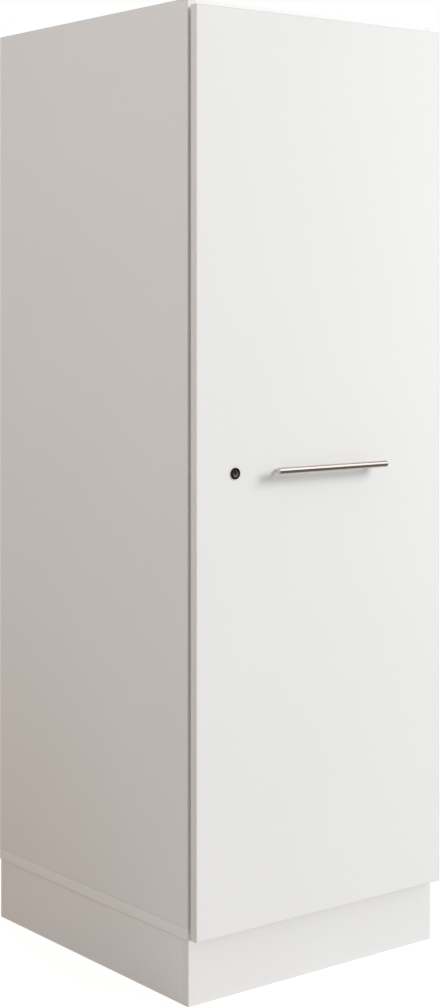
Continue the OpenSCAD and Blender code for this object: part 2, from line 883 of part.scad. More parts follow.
module hinge_plates() {
    base_x = inner_x - plate_t;
    placed(nickel) for (z = hinge_z) translate([0, 0, z]) difference() {
        union() {
            block([base_x, plate_y0, -rib_half], [inner_x, plate_y1, rib_half]);
            block([base_x, plate_line - plate_wing, -plate_wing_h],
                  [inner_x, plate_line + plate_wing, plate_wing_h]);
            block([web_inner_x, plate_y0, -rib_half], [inner_x, plate_y1, rib_half]);
        }
        web_screw_holes();
        for (s = [-1, 1])
            aimed([base_x, plate_line, s * plate_screw_spacing / 2], [-1, 0, 0])
                screw_hole(plate_screw);
    }
}

module hinge_plate_screws() {
    placed(zinc) plate_screw_places() screw(plate_screw);
}

module hinge_clamp_screws() {
    placed(zinc) for (z = hinge_z) aimed([web_x, clamp_y, z], [-1, 0, 0]) screw(clamp_screw);
}

module hinge_adjusters() {
    placed(zinc) for (z = hinge_z) aimed([web_x, adjuster_y, z], [-1, 0, 0]) screw(adjuster);
}

module handle_bar() {
    placed(satin_steel) aimed([-bar_len / 2, bar_y, bar_z], [1, 0, 0])
        rotate_extrude() bar_half_section();
}

// Half of the bar's section along its axis, with a small chamfer at each end.
module bar_half_section() {
    chamfer = 0.6;
    r = bar_d / 2;
    polygon([[0, 0], [r - chamfer, 0], [r, chamfer], [r, bar_len - chamfer],
             [r - chamfer, bar_len], [0, bar_len]]);
}

module handle_posts() {
    placed(satin_steel) difference() {
        post_places() aimed([0, door_front_y, 0], [0, -1, 0])
            cylinder(r = post_d / 2, h = bar_reach);
        aimed([-bar_len / 2, bar_y, bar_z], [1, 0, 0]) cylinder(r = bar_d / 2, h = bar_len);
        post_places() aimed([0, door_back_y, 0], [0, 1, 0]) screw_hole(handle_screw);
    }
}

module handle_screws() {
    placed(zinc) post_places() aimed([0, door_back_y, 0], [0, 1, 0]) screw(handle_screw);
}

module lock_rosette() {
    r = rosette_d / 2;
    lip = 0.8;
    placed(black_plastic) aimed([lock_x, door_front_y, lock_z], [0, -1, 0])
        rotate_extrude() polygon([[plug_r + slack, 0], [r, 0], [r, rosette_h - lip],
                                  [r - lip, rosette_h], [plug_r + slack, rosette_h]]);
}

module lock_barrel() {
    placed(grey_metal) aimed([lock_x, door_front_y, lock_z], [0, 1, 0]) difference() {
        cylinder(r = barrel_r, h = barrel_y1 - door_front_y);
        translate([0, 0, -through]) cylinder(r = plug_r + fit, h = plug_back_y - door_front_y + through);
        cylinder(r = tail_w, h = barrel_y1 - door_front_y + through);
    }
}

// The plug has a key slot in front and a square tail through the pinion.
module lock_plug() {
    slot_w = 1.6;
    slot_h = 7;
    slot_deep = 5;
    front = plug_proud;
    body_l = plug_back_y - door_front_y - fit + front;
    tail_l = pinion_y1 - plug_back_y + fit;
    placed(grey_metal) aimed([lock_x, door_front_y - front, lock_z], [0, 1, 0]) difference() {
        union() {
            cylinder(r = plug_r, h = body_l);
            translate([-tail_w / 2, -tail_w / 2, body_l - 1]) cube([tail_w, tail_w, tail_l + 1]);
        }
        translate([-slot_w / 2, -slot_h / 2, -through]) cube([slot_w, slot_h, slot_deep + through]);
    }
}

// Angle between a radial line and the involute at radius r, in degrees.
function involute(r) = tan(acos(base_r / r)) * 180 / PI - acos(base_r / r);

// Half the angle that a pinion tooth fills at radius r.
function tooth_half(r) = tooth_t / 2 / pitch_r * 180 / PI + involute(pitch_r) - involute(r);

function polar(r, a) = [r * cos(a), r * sin(a)];

// One pinion tooth about the direction a, from its root up one flank and down the other.
function tooth_points(a) = let (
    flank = [for (i = [0:4]) base_r + i * (pitch_r + addendum - base_r) / 4],
    root = pitch_r - dedendum)
    concat([polar(root, a - tooth_half(base_r))],
           [for (r = flank) polar(r, a - tooth_half(r))],
           [for (i = [4:-1:0]) polar(flank[i], a + tooth_half(flank[i]))],
           [polar(root, a + tooth_half(base_r))]);

module lock_pinion() {
    step = 360 / pinion_teeth;
    placed(grey_metal) translate([lock_x, pinion_y1, lock_z]) rotate([90, 0, 0])
        linear_extrude(pinion_y1 - pinion_y0) difference() {
            polygon([for (i = [0:pinion_teeth - 1]) each tooth_points((i + 0.5) * step)]);
            square(tail_w + 2 * fit, center = true);
        }
}

// A lock case, open to the door, with ears for its screws and a slot for each rod.
module lock_case() {
    w = case_wall;
    y0 = door_back_y;
    slot_x0 = -rack_root - rod_w - slack;
    slot_x1 = -rack_root + slack;
    placed(zinc) difference() {
        translate([lock_x, 0, lock_z]) difference() {
            union() {
                block([-case_x, y0, -case_z], [case_x, case_y1, case_z]);
                block([-case_x - case_ear, y0, -case_z], [case_x + case_ear, y0 + w, case_z]);
            }
            block([-case_x + w, y0 - through, -case_z + w], [case_x - w, case_y1 - w, case_z - w]);
            for (a = [0, 180]) rotate([0, a, 0])
                block([slot_x0, rod_y0 - slack, case_z - w - through],
                      [slot_x1, rod_y1 + slack, case_z + through]);
        }
        case_screw_places() screw_hole(case_screw);
    }
}

module lock_case_screws() {
    placed(zinc) case_screw_places() screw(case_screw);
}

// The outline of the upper rod from the axis of the lock: rack teeth, bar and pointed tip.
module rod_outline(length) {
    x0 = -rack_root - rod_w;
    x1 = -rack_root;
    tip_half = tooth_t / 2 - addendum * tan(pressure_angle);
    root_half = tooth_t / 2 + dedendum * tan(pressure_angle);
    polygon([[x0, -rack_end], [x1, -rack_end], [x1, length - rod_tip],
             [x1 - rod_tip / 2, length], [x0 + rod_tip / 2, length], [x0, length - rod_tip]]);
    for (i = [-travel_teeth - 1:1]) translate([0, i * tooth_pitch])
        polygon([[x1 - 1, -root_half], [x1, -root_half], [-pitch_r + addendum, -tip_half],
                 [-pitch_r + addendum, tip_half], [x1, root_half], [x1 - 1, root_half]]);
}

module lock_rod(length) {
    translate([0, rod_y1, 0]) rotate([90, 0, 0]) linear_extrude(rod_t) rod_outline(length);
}

module lock_rod_upper() {
    placed(zinc) translate([lock_x, 0, lock_z]) lock_rod(rod_top_z - lock_z);
}

module lock_rod_lower() {
    placed(zinc) translate([lock_x, 0, lock_z]) rotate([0, 180, 0])
        translate([0, rod_y0 + rod_y1, 0]) mirror([0, 1, 0]) lock_rod(lock_z - rod_bottom_z);
}

module rod_guides() {
    placed(white_plastic) for (p = guide_places) translate([p.x, 0, p.y]) difference() {
        union() {
            block([-guide_w / 2, door_back_y, -guide_h / 2], [guide_w / 2, guide_y1, guide_h / 2]);
            block([-guide_w / 2 - guide_ear, door_back_y, -guide_h / 2],
                  [guide_w / 2 + guide_ear, door_back_y + guide_ear_t, guide_h / 2]);
        }
        block([-rod_w / 2 - slack, rod_y0 - slack, -guide_h],
              [rod_w / 2 + slack, rod_y1 + slack, guide_h]);
        for (s = [-1, 1]) aimed([s * guide_screw_x, door_back_y + guide_ear_t, 0], [0, 1, 0])
            screw_hole(case_screw);
    }
}

module rod_guide_screws() {
    placed(zinc) guide_screw_places() screw(case_screw);
}

// An angle whose lip stands in front of a rod's tip, seen as the one under the top panel.
module keeper() {
    block([-keeper_w / 2, 0, -keeper_t], [keeper_w / 2, keeper_leg, 0]);
    block([-keeper_w / 2, 0, -keeper_lip], [keeper_w / 2, keeper_t, 0]);
}

module rod_keepers() {
    placed(zinc) difference() {
        union() {
            translate([rod_x_upper, 0, roof_z]) keeper();
            translate([rod_x_lower, 0, floor_z]) mirror([0, 0, 1]) keeper();
        }
        keeper_screw_places() screw_hole(keeper_screw);
    }
}

module rod_keeper_screws() {
    placed(zinc) keeper_screw_places() screw(keeper_screw);
}

side_panel_left();
side_panel_right();
top_panel();
bottom_board();
mid_shelf();
back_panel_lower();
back_panel_upper();
back_rail_bottom();
back_rail_middle();
back_rail_top();
carcass_edging();
carcass_dowels();
top_cam_bolts();
top_cams();
bottom_board_screws();
back_panel_screws();
shelf_angles();
shelf_angle_screws();
plinth_front();
plinth_back();
plinth_left();
plinth_right();
plinth_bearers();
plinth_blocks();
plinth_dowels();
plinth_screws();
door_panel();
door_edging();
door_buffers();
hinge_cups();
hinge_cup_screws();
hinge_pins();
hinge_arms();
hinge_plates();
hinge_plate_screws();
hinge_clamp_screws();
hinge_adjusters();
handle_bar();
handle_posts();
handle_screws();
lock_rosette();
lock_barrel();
lock_plug();
lock_pinion();
lock_case();
lock_case_screws();
lock_rod_upper();
lock_rod_lower();
rod_guides();
rod_guide_screws();
rod_keepers();
rod_keeper_screws();
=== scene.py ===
"""A tall white cabinet for a stacked washing machine and dryer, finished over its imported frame.

The boards keep the shapes of the frame and get their melamine, chipboard and edge strip finishes. The edge
strips, handle, lock, hinges, screws and small fittings get finer surfaces, each where the frame has it.
"""

import math
from functools import cache

import bmesh
import bpy
import numpy as np
from bpy.props import FloatProperty, FloatVectorProperty, IntProperty, PointerProperty
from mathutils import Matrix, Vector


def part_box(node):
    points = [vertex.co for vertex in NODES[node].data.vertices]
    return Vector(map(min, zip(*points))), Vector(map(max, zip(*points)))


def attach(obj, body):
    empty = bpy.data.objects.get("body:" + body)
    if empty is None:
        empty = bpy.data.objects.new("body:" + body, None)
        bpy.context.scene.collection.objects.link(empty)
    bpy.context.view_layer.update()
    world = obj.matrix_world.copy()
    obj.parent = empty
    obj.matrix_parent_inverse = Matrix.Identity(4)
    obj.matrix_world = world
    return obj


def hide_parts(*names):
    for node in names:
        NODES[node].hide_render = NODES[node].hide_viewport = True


bl_info = {
    "name": "Laundry Cabinet",
    "version": (1, 0, 0),
    "blender": (4, 5, 0),
    "location": "3D View > Sidebar > Cabinet",
    "description": "Builds the finished look of a tall laundry cabinet over its packed frame",
    "category": "Object",
}

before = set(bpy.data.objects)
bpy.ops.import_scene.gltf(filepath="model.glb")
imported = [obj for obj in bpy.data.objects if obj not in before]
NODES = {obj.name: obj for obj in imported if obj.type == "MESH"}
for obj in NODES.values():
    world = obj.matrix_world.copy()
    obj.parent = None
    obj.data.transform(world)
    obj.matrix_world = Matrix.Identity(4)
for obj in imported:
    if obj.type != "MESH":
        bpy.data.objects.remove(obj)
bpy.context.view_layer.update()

# The photograph's frame, in pixels, and what was measured in it
PHOTO_WIDTH = 440
PHOTO_HEIGHT = 1007
OPTICAL_CENTRE = (220.0, 298.4)
FOCAL_PIXELS = 1897.1
# The width of the camera's sensor, in millimetres
SENSOR = 36.0

X, Y, Z = np.eye(3)

# Edges that turn by more than this are shaded sharp
CREASE = math.radians(32)
# The most of a side that the easing of one of its corners may take up
EASING_SHARE = 0.49


def length_setting(label, description, value, least=0.0, most=10.0):
    """A length with its label, description, default and limits."""
    return FloatProperty(
        name=label, description=description, default=value, min=least, max=most, unit="LENGTH"
    )


def count_setting(label, description, value, least, most):
    """A whole number with its label, description, default and limits."""
    return IntProperty(name=label, description=description, default=value, min=least, max=most)


def angle_setting(label, description, degrees):
    """An angle with its label, description and default in degrees."""
    return FloatProperty(name=label, description=description, default=math.radians(degrees), subtype="ANGLE")


def light_setting(label, description, value, **kind):
    """An amount of light with its label, description, default and kind."""
    return FloatProperty(name=label, description=description, default=value, min=0.0, **kind)


def place_setting(label, description, place):
    """A place with its label, description and default."""
    return FloatVectorProperty(
        name=label, description=description, default=place, size=3, subtype="XYZ", unit="LENGTH"
    )


def tint(label, description, colour):
    """A colour with its label, description and default."""
    return FloatVectorProperty(
        name=label, description=description, default=colour, size=3, min=0.0, max=1.0, subtype="COLOR"
    )


class CabinetSizes(bpy.types.PropertyGroup):
    """Sizes of the finer surfaces that a user may change."""

    door_strip_ease: length_setting(
        "Door strip easing", "Easing of the outer corners of the door's edge strip", 0.0007, 0.0001, 0.0014
    )
    carcass_strip_ease: length_setting(
        "Carcass strip easing", "Easing of the outer corners of the other strips", 0.0008, 0.0001, 0.00095
    )
    bar_end_ease: length_setting(
        "Bar end easing", "Easing of the rims of the handle bar's ends", 0.0012, 0.0002, 0.003
    )
    bar_columns: count_setting("Bar columns", "Number of faces round the handle bar", 72, 16, 128)
    ring_lip: length_setting(
        "Lock ring lip", "Easing of the outer rim of the black lock ring", 0.0014, 0.0002, 0.0025
    )
    ring_slack: length_setting(
        "Lock ring slack", "How much smaller the ring's radius is than that of its solid", 0.0004, 0.0, 0.001
    )
    key_slot_width: length_setting(
        "Key slot width", "Width of the key slot in the lock plug", 0.0042, 0.0008, 0.005
    )
    key_slot_height: length_setting(
        "Key slot height", "Height of the key slot in the lock plug", 0.0064, 0.004, 0.010
    )
    key_slot_lift: length_setting(
        "Key slot lift", "How far the middle of the key slot lies above that of the plug", 0.0018, 0.0, 0.002
    )
    pressing_ease: length_setting(
        "Pressing easing", "Bevel on the edges of pressed and cast steel fittings", 0.0003, 0.00005, 0.0006
    )
    moulding_ease: length_setting(
        "Moulding easing", "Bevel on the edges of the nylon rod guides", 0.0006, 0.0001, 0.001
    )
    rolling_ease: length_setting(
        "Rolling easing", "Bevel on the edges of the rolled steel shelf angles", 0.0007, 0.0001, 0.0009
    )
    screw_columns: count_setting("Screw columns", "Number of faces round each screw head", 32, 16, 64)


class CabinetColours(bpy.types.PropertyGroup):
    """Colours of the finishes that a user may change."""

    board_white: tint("Board white", "Melamine face of the boards", (0.800, 0.796, 0.786))
    # A lighter copy of the board white: painted light on the plinth's sides
    plinth_painted_light_white: tint("Plinth white", "Faces of the plinth's sides and back", (0.832, 0.828, 0.817))
    # A lighter copy of the strip white: painted light, so the top strip reads white
    level_strip_painted_light_white: tint("Level strip white", "Front strips of the level boards", (0.900, 0.897, 0.890))
    # A darker copy of the level strips' white: painted shade in the gap beside the door
    strip_painted_shade_white: tint("Strip white", "Strips of the sides and the bottom board's ends", (0.812, 0.806, 0.794))
    # A darker copy of the strip white: painted shade on the door's edge
    door_strip_painted_shade_white: tint("Door strip white", "Edge strips of the door", (0.745, 0.737, 0.722))
    chip_light: tint("Light chips", "Light chips in the core of the boards", (0.640, 0.490, 0.320))
    chip_dark: tint("Dark chips", "Dark chips and glue in the core of the boards", (0.360, 0.235, 0.130))
    beech_light: tint("Light beech", "Early wood of the dowels and blocks", (0.620, 0.430, 0.255))
    beech_dark: tint("Dark beech", "Late wood and flecks of the dowels and blocks", (0.400, 0.235, 0.120))
    zinc: tint("Zinc", "Zinc plating of screws, rods and keepers", (0.560, 0.575, 0.600))
    nickel: tint("Nickel", "Nickel plating of the hinges", (0.640, 0.620, 0.580))
    satin_steel: tint("Satin steel", "Steel of the handle bar", (0.640, 0.585, 0.550))
    # A much lighter copy of the bar's steel: painted light, so the posts read bright
    post_steel_painted_light: tint("Post steel", "Bright turned steel of the handle's posts", (0.930, 0.895, 0.850))
    ring_black: tint("Ring black", "Black ring round the lock", (0.006, 0.005, 0.005))
    lock_steel: tint("Lock steel", "Plug, barrel and pinion of the lock", (0.250, 0.218, 0.212))
    nylon: tint("Nylon", "Guides of the lock rods", (0.720, 0.715, 0.690))
    rubber: tint("Rubber", "Buffers at the back of the door", (0.430, 0.430, 0.420))
    angle_white: tint("Angle white", "Painted steel angles under the shelf", (0.760, 0.757, 0.745))


class StageSettings(bpy.types.PropertyGroup):
    """Camera, lamps and floor."""

    camera_place: place_setting("Camera place", "Where the camera stands", (-2.5953, -3.3281, 1.3930))
    camera_heading: angle_setting("Camera heading", "How far right of straight ahead the camera looks", 37.93)
    camera_pitch: angle_setting("Camera pitch", "How far above the horizon the camera looks", 0.174)
    key_place: place_setting(
        "Key lamp place", "Where the far, broad key lamp shines from, right of the front", (4.83, -5.72, 4.49)
    )
    key_breadth: angle_setting("Key lamp breadth", "How broad the key lamp looks from the cabinet", 28)
    key_strength: light_setting("Key lamp strength", "Strength of the key lamp", 2.12)
    key_colour: tint("Key lamp colour", "Slightly cool light on the front", (0.965, 0.985, 1.0))
    fill_place: place_setting(
        "Fill lamp place", "Where the soft lamp stands that lights the left side", (-3.4, -0.7, 2.9)
    )
    fill_size: length_setting("Fill lamp size", "Side of the square fill lamp", 2.0, 0.2)
    fill_power: light_setting("Fill lamp power", "Power of the fill lamp", 30.3, unit="POWER")
    fill_colour: tint("Fill lamp colour", "Slightly warm light on the left side", (0.985, 0.885, 0.81))
    edge_place: place_setting(
        "Edge lamp place", "Where the tall soft lamp stands that lights the hinge side", (1.3, -1.2, 1.4)
    )
    edge_width: length_setting("Edge lamp width", "Width of the edge lamp", 0.8, 0.1)
    edge_height: length_setting("Edge lamp height", "Height of the edge lamp", 2.2, 0.1)
    edge_power: light_setting("Edge lamp power", "Power of the edge lamp", 6.6, unit="POWER")
    back_place: place_setting(
        "Back lamp place", "Where the soft lamp stands that lights the back", (1.6, 4.6, 2.4)
    )
    back_size: length_setting("Back lamp size", "Side of the square back lamp", 2.4, 0.2)
    back_power: light_setting("Back lamp power", "Power of the back lamp", 50.0, unit="POWER")
    ambient: light_setting("Ambient light", "Light from all round", 0.48, max=1.0, subtype="FACTOR")
    front_floor: tint("Front floor", "Colour that the floor in front gives back", (0.54, 0.52, 0.505))
    left_floor: tint("Left floor", "Colour that the floor on the left gives back", (0.38, 0.190, 0.060))


def grid_quads(rows, columns, wrap_rows=False, wrap_columns=False):
    """Quads between neighbours on a grid kept row by row, joined on to its start where it wraps."""
    i, j = np.meshgrid(
        np.arange(rows - (not wrap_rows)), np.arange(columns - (not wrap_columns)), indexing="ij"
    )
    below, beside = (i + 1) % rows, (j + 1) % columns
    corners = (i * columns + j, i * columns + beside, below * columns + beside, below * columns + j)
    return np.stack(corners, axis=-1).reshape(-1, 4).tolist()


def end_caps(rows, columns):
    """One flat face on the first row of a grid and one on its last."""
    first = list(range(columns))
    return [first[::-1], [(rows - 1) * columns + k for k in first]]


def eased(corners, reach, steps=3):
    """A closed line with its corners eased.

    Each corner gives way to a parabola that leaves one side at the reach before the corner and meets the
    other side at the reach after it: (1 - t) squared x start + 2 t (1 - t) x corner + t squared x end.
    """
    corners = np.array(corners, float)
    reach = np.broadcast_to(np.array(reach, float), len(corners))[:, None]
    before, after = np.roll(corners, 1, 0) - corners, np.roll(corners, -1, 0) - corners
    far_before = np.linalg.norm(before, axis=1, keepdims=True)
    far_after = np.linalg.norm(after, axis=1, keepdims=True)
    start = corners + before * np.minimum(reach / far_before, EASING_SHARE)
    end = corners + after * np.minimum(reach / far_after, EASING_SHARE)
    t = np.linspace(0, 1, steps + 1)[None, :, None]
    curve = (1 - t) ** 2 * start[:, None] + 2 * t * (1 - t) * corners[:, None] + t**2 * end[:, None]
    return curve.reshape(-1, corners.shape[1])


def carried(profile, path, side, out, closed=False):
    """A closed profile carried along a path.

    Each point is its place on the path plus the profile's first number along side plus its second along
    out. Side and out may turn from one place to the next. An open path gets a flat face at each end.
    """
    profile, path = np.array(profile, float), np.array(path, float)
    side = np.broadcast_to(np.array(side, float), path.shape)
    out = np.broadcast_to(np.array(out, float), path.shape)
    points = path[:, None] + profile[None, :, :1] * side[:, None] + profile[None, :, 1:] * out[:, None]
    rows, columns = len(path), len(profile)
    faces = grid_quads(rows, columns, wrap_rows=closed, wrap_columns=True)
    return points.reshape(-1, 3), faces if closed else faces + end_caps(rows, columns)


def whole_turn(columns):
    """The angles of so many even steps once round."""
    return np.linspace(0, 2 * math.pi, columns, endpoint=False)


def turned(profile, place, direction, columns=48, ring=False):
    """A profile of radius and height turned about an axis.

    Each point is the place plus its height along the axis plus its radius along a direction that goes
    once round it. A ring's profile is closed, and any other starts and ends on the axis.
    """
    profile, direction = np.array(profile, float), np.array(direction, float)
    side = np.roll(direction, 1)
    angle = whole_turn(columns)[:, None]
    spoke = np.cos(angle) * side + np.sin(angle) * np.cross(direction, side)
    points = np.array(place) + profile[:, 1, None, None] * direction + profile[:, :1, None] * spoke
    return points.reshape(-1, 3), grid_quads(len(profile), columns, wrap_rows=ring, wrap_columns=True)


def slot_reach(angle, length, width):
    """How far a ray from the middle of a slot runs before it leaves: to the end or the side, if nearer."""
    to_end = length / 2 / np.maximum(np.abs(np.cos(angle)), 1e-9)
    to_side = width / 2 / np.maximum(np.abs(np.sin(angle)), 1e-9)
    return np.minimum(to_end, to_side)


def cross_reach(angle, length, width):
    """How far a ray from the middle of a cross runs before it leaves both of its slots."""
    return np.maximum(slot_reach(angle, length, width), slot_reach(angle + math.pi / 2, length, width))


def punched(rings, outline, angle, place, direction, shift=(0.0, 0.0, 0.0)):
    """A turned piece with a recess of another outline in its top.

    Each ring is (share, radius, height). Its points lie at share x the outline's reach + radius from the
    axis, in every direction, so that the first rings follow the recess and the rest are round. The rings
    up to the last one with a share are moved by the shift, for a recess beside the axis.
    """
    rings, direction = np.array(rings, float), np.array(direction, float)
    side = np.roll(direction, 1)
    spoke = np.cos(angle)[:, None] * side + np.sin(angle)[:, None] * np.cross(direction, side)
    away = rings[:, :1] * outline[None] + rings[:, 1:2]
    points = np.array(place) + rings[:, 2, None, None] * direction + away[:, :, None] * spoke[None]
    points[: np.flatnonzero(rings[:, 0])[-1] + 1] += np.array(shift)
    return points.reshape(-1, 3), grid_quads(len(rings), len(angle), wrap_columns=True)


def closed_part(points, faces):
    """The points and faces as a closed mesh, welded, with its faces pointing out."""
    mesh = bpy.data.meshes.new("part")
    mesh.from_pydata(points, [], faces)
    work = bmesh.new()
    work.from_mesh(mesh)
    bmesh.ops.remove_doubles(work, verts=work.verts, dist=1e-6)
    bmesh.ops.dissolve_degenerate(work, edges=work.edges, dist=1e-7)
    bmesh.ops.recalc_face_normals(work, faces=work.faces)
    work.to_mesh(mesh)
    work.free()
    return mesh


def add_piece(name, parts, material, body, stands_for, crease=CREASE):
    """One object from several closed surfaces, with its finish, the body it rides on and its CAD nodes."""
    whole = bmesh.new()
    for points, faces in parts:
        part = closed_part(points, faces)
        whole.from_mesh(part)
        bpy.data.meshes.remove(part)
    mesh = bpy.data.meshes.new(name)
    whole.to_mesh(mesh)
    whole.free()
    place_piece(name, mesh, material, body, stands_for, crease)


def place_piece(name, mesh, material, body, stands_for, crease=CREASE):
    """Links a finished mesh into the scene as a piece of the cabinet."""
    mesh.shade_smooth()
    mesh.set_sharp_from_angle(angle=crease)
    if not mesh.materials:
        mesh.materials.append(None)
    piece = bpy.data.objects.new(name, mesh)
    bpy.context.scene.collection.objects.link(piece)
    for place in piece.material_slots:
        place.link = "OBJECT"
        place.material = material
    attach(piece, body)
    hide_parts(*stands_for)
    return piece


def eased_copy(name, node, material, body, width, segments=2):
    """A merged copy of a CAD node whose sharp edges get a small bevel."""
    mesh = NODES[node].data.copy()
    mesh.name = name
    work = bmesh.new()
    work.from_mesh(mesh)
    bmesh.ops.remove_doubles(work, verts=work.verts, dist=2e-6)
    bmesh.ops.dissolve_limit(work, angle_limit=math.radians(0.5), verts=work.verts, edges=work.edges)
    work.to_mesh(mesh)
    work.free()
    if "custom_normal" in mesh.attributes:
        mesh.attributes.remove(mesh.attributes["custom_normal"])
    mesh.materials.clear()
    piece = place_piece(name, mesh, material, body, (node,))
    bevel = piece.modifiers.new("eased edges", "BEVEL")
    bevel.width = width
    bevel.segments = segments
    bevel.limit_method = "ANGLE"
    bevel.angle_limit = math.radians(40)
    bevel.use_clamp_overlap = False
    bevel.harden_normals = True


def solids(node):
    """The points of each separate solid of a CAD node, in order of height, depth and width.

    Every point starts with a label of its own. Both ends of each edge take the lower label, over and
    over, until nothing changes, and points with one label belong to one solid.
    """
    mesh = NODES[node].data
    coordinates = np.empty(len(mesh.vertices) * 3, np.float32)
    mesh.vertices.foreach_get("co", coordinates)
    ends = np.empty(len(mesh.edges) * 2, np.int32)
    mesh.edges.foreach_get("vertices", ends)
    points, same = np.unique(np.round(coordinates.reshape(-1, 3), 6), axis=0, return_inverse=True)
    ends = same.ravel()[ends].reshape(-1, 2)
    label = np.arange(len(points))
    while True:
        lower = np.minimum(label[ends[:, 0]], label[ends[:, 1]])
        following = label.copy()
        np.minimum.at(following, ends[:, 0], lower)
        np.minimum.at(following, ends[:, 1], lower)
        following = following[following]
        if np.array_equal(following, label):
            break
        label = following
    found = [points[label == k].astype(float) for k in np.unique(label)]
    return sorted(found, key=lambda each: tuple(np.round(each.mean(0)[::-1], 4)))


def round_solids(node):
    """The lowest and highest corner, the middle and the radius of each round solid of a CAD node.

    The radius is half the width, so the solids stand upright or run from front to back.
    """
    for points in solids(node):
        low, high = points.min(0), points.max(0)
        yield low, high, (low + high) / 2, (high[0] - low[0]) / 2


def feed(socket, value):
    """Gives an input a value, or joins another node's output to it."""
    if isinstance(value, bpy.types.NodeSocket):
        socket.id_data.links.new(value, socket)
    else:
        socket.default_value = value


def node_parts(tree):
    """The adder of nodes for one tree: a kind, its inputs in order, and its settings by name."""

    def add(kind, *inputs, **settings):
        made = tree.nodes.new(kind)
        for name, value in settings.items():
            setattr(made, name, value)
        for socket, value in zip(made.inputs, inputs):
            feed(socket, value)
        return made

    return add


def empty_nodes(owner):
    """The adder of nodes for a material or a world, whose own nodes are cleared away first."""
    owner.use_nodes = True
    owner.node_tree.nodes.clear()
    return node_parts(owner.node_tree)


def noise(add, place, scale, detail=2.0, roughness=0.5):
    """The height of a noise pattern at a place."""
    made = add("ShaderNodeTexNoise", place)
    for label, value in (("Scale", scale), ("Detail", detail), ("Roughness", roughness)):
        feed(made.inputs[label], value)
    return made.outputs["Fac"]


def maths(add, operation, *values):
    """One sum of numbers."""
    return add("ShaderNodeMath", *values, operation=operation).outputs[0]


def vectors(add, operation, *values):
    """One sum of vectors."""
    return add("ShaderNodeVectorMath", *values, operation=operation).outputs[0]


def stretched(add, place, scale):
    """A place with each of its directions scaled."""
    return vectors(add, "MULTIPLY", place, scale)


def folded(add, operation, vector):
    """The three numbers of a vector joined by one operation, such as their sum or the least of them."""
    parts = add("ShaderNodeSeparateXYZ", vector).outputs
    return maths(add, operation, maths(add, operation, parts[0], parts[1]), parts[2])


def ranged(add, value, low, high, to_low, to_high):
    """A value taken from one range to another."""
    return add("ShaderNodeMapRange", value, low, high, to_low, to_high).outputs[0]


# Which sockets of a Mix node hold its first value, its second value and its result
MIX_SOCKETS = {"RGBA": (6, 7, 2), "FLOAT": (2, 3, 0)}


def blend(add, share, first, second, kind="RGBA", mode="MIX"):
    """Two colours, or two numbers, blended by a share."""
    made = add("ShaderNodeMix", share, data_type=kind, blend_type=mode)
    start, end, result = MIX_SOCKETS[kind]
    feed(made.inputs[start], first)
    feed(made.inputs[end], second)
    return made.outputs[result]


def shaded(add, colour, share):
    """A colour darkened to a share of itself."""
    grey = add("ShaderNodeCombineColor", share, share, share).outputs[0]
    return blend(add, 1.0, colour, grey, mode="MULTIPLY")


def swung(add, middle, pattern, width):
    """A middle value, plus the width times how far a pattern stands above one half."""
    return maths(add, "ADD", middle, maths(add, "MULTIPLY", maths(add, "SUBTRACT", pattern, 0.5), width))


def bumped(add, height):
    """The normal of a surface raised by a height in metres."""
    made = add("ShaderNodeBump")
    for label, value in (("Strength", 1.0), ("Distance", 1.0), ("Height", height)):
        feed(made.inputs[label], value)
    return made.outputs["Normal"]


def cells(add, place, density):
    """Three random numbers for each cell of a pattern with so many cells a metre each way."""
    pattern = add("ShaderNodeTexVoronoi", stretched(add, place, density))
    pattern.inputs["Scale"].default_value = 1.0
    return add("ShaderNodeSeparateColor", pattern.outputs["Color"]).outputs


def link(source, target):
    """Joins one node's output to another's input."""
    source.id_data.links.new(source, target)


def new_group(name, values):
    """A shader node group that reads a place and the named values, with its ends and its adder.

    A value of four numbers is a colour, one of three is a vector, and any other is a number.
    """
    tree = bpy.data.node_groups.new(name, "ShaderNodeTree")
    tree.interface.new_socket(name="Place", in_out="INPUT", socket_type="NodeSocketVector")
    for label, value in values.items():
        kind = {3: "Vector", 4: "Color"}.get(np.size(value), "Float")
        socket = tree.interface.new_socket(name=label, in_out="INPUT", socket_type="NodeSocket" + kind)
        socket.default_value = value
    for label, kind in (("Color", "Color"), ("Roughness", "Float"), ("Normal", "Vector")):
        tree.interface.new_socket(name=label, in_out="OUTPUT", socket_type="NodeSocket" + kind)
    add = node_parts(tree)
    return tree, add("NodeGroupInput").outputs, add("NodeGroupOutput").inputs, add


# How near a side of its board's box a point counts as on that face
FACE_REACH = 0.00006
# How far from a face's edge its painted shade and glue line is full, and how far the line has faded out
SEAM_SHADE_LINE = (0.0002, 0.0013)
# Coarse and fine chips of the core, in cells a metre each way
COARSE_CHIPS = (420, 300, 520)
FINE_CHIPS = (1100, 1300, 900)


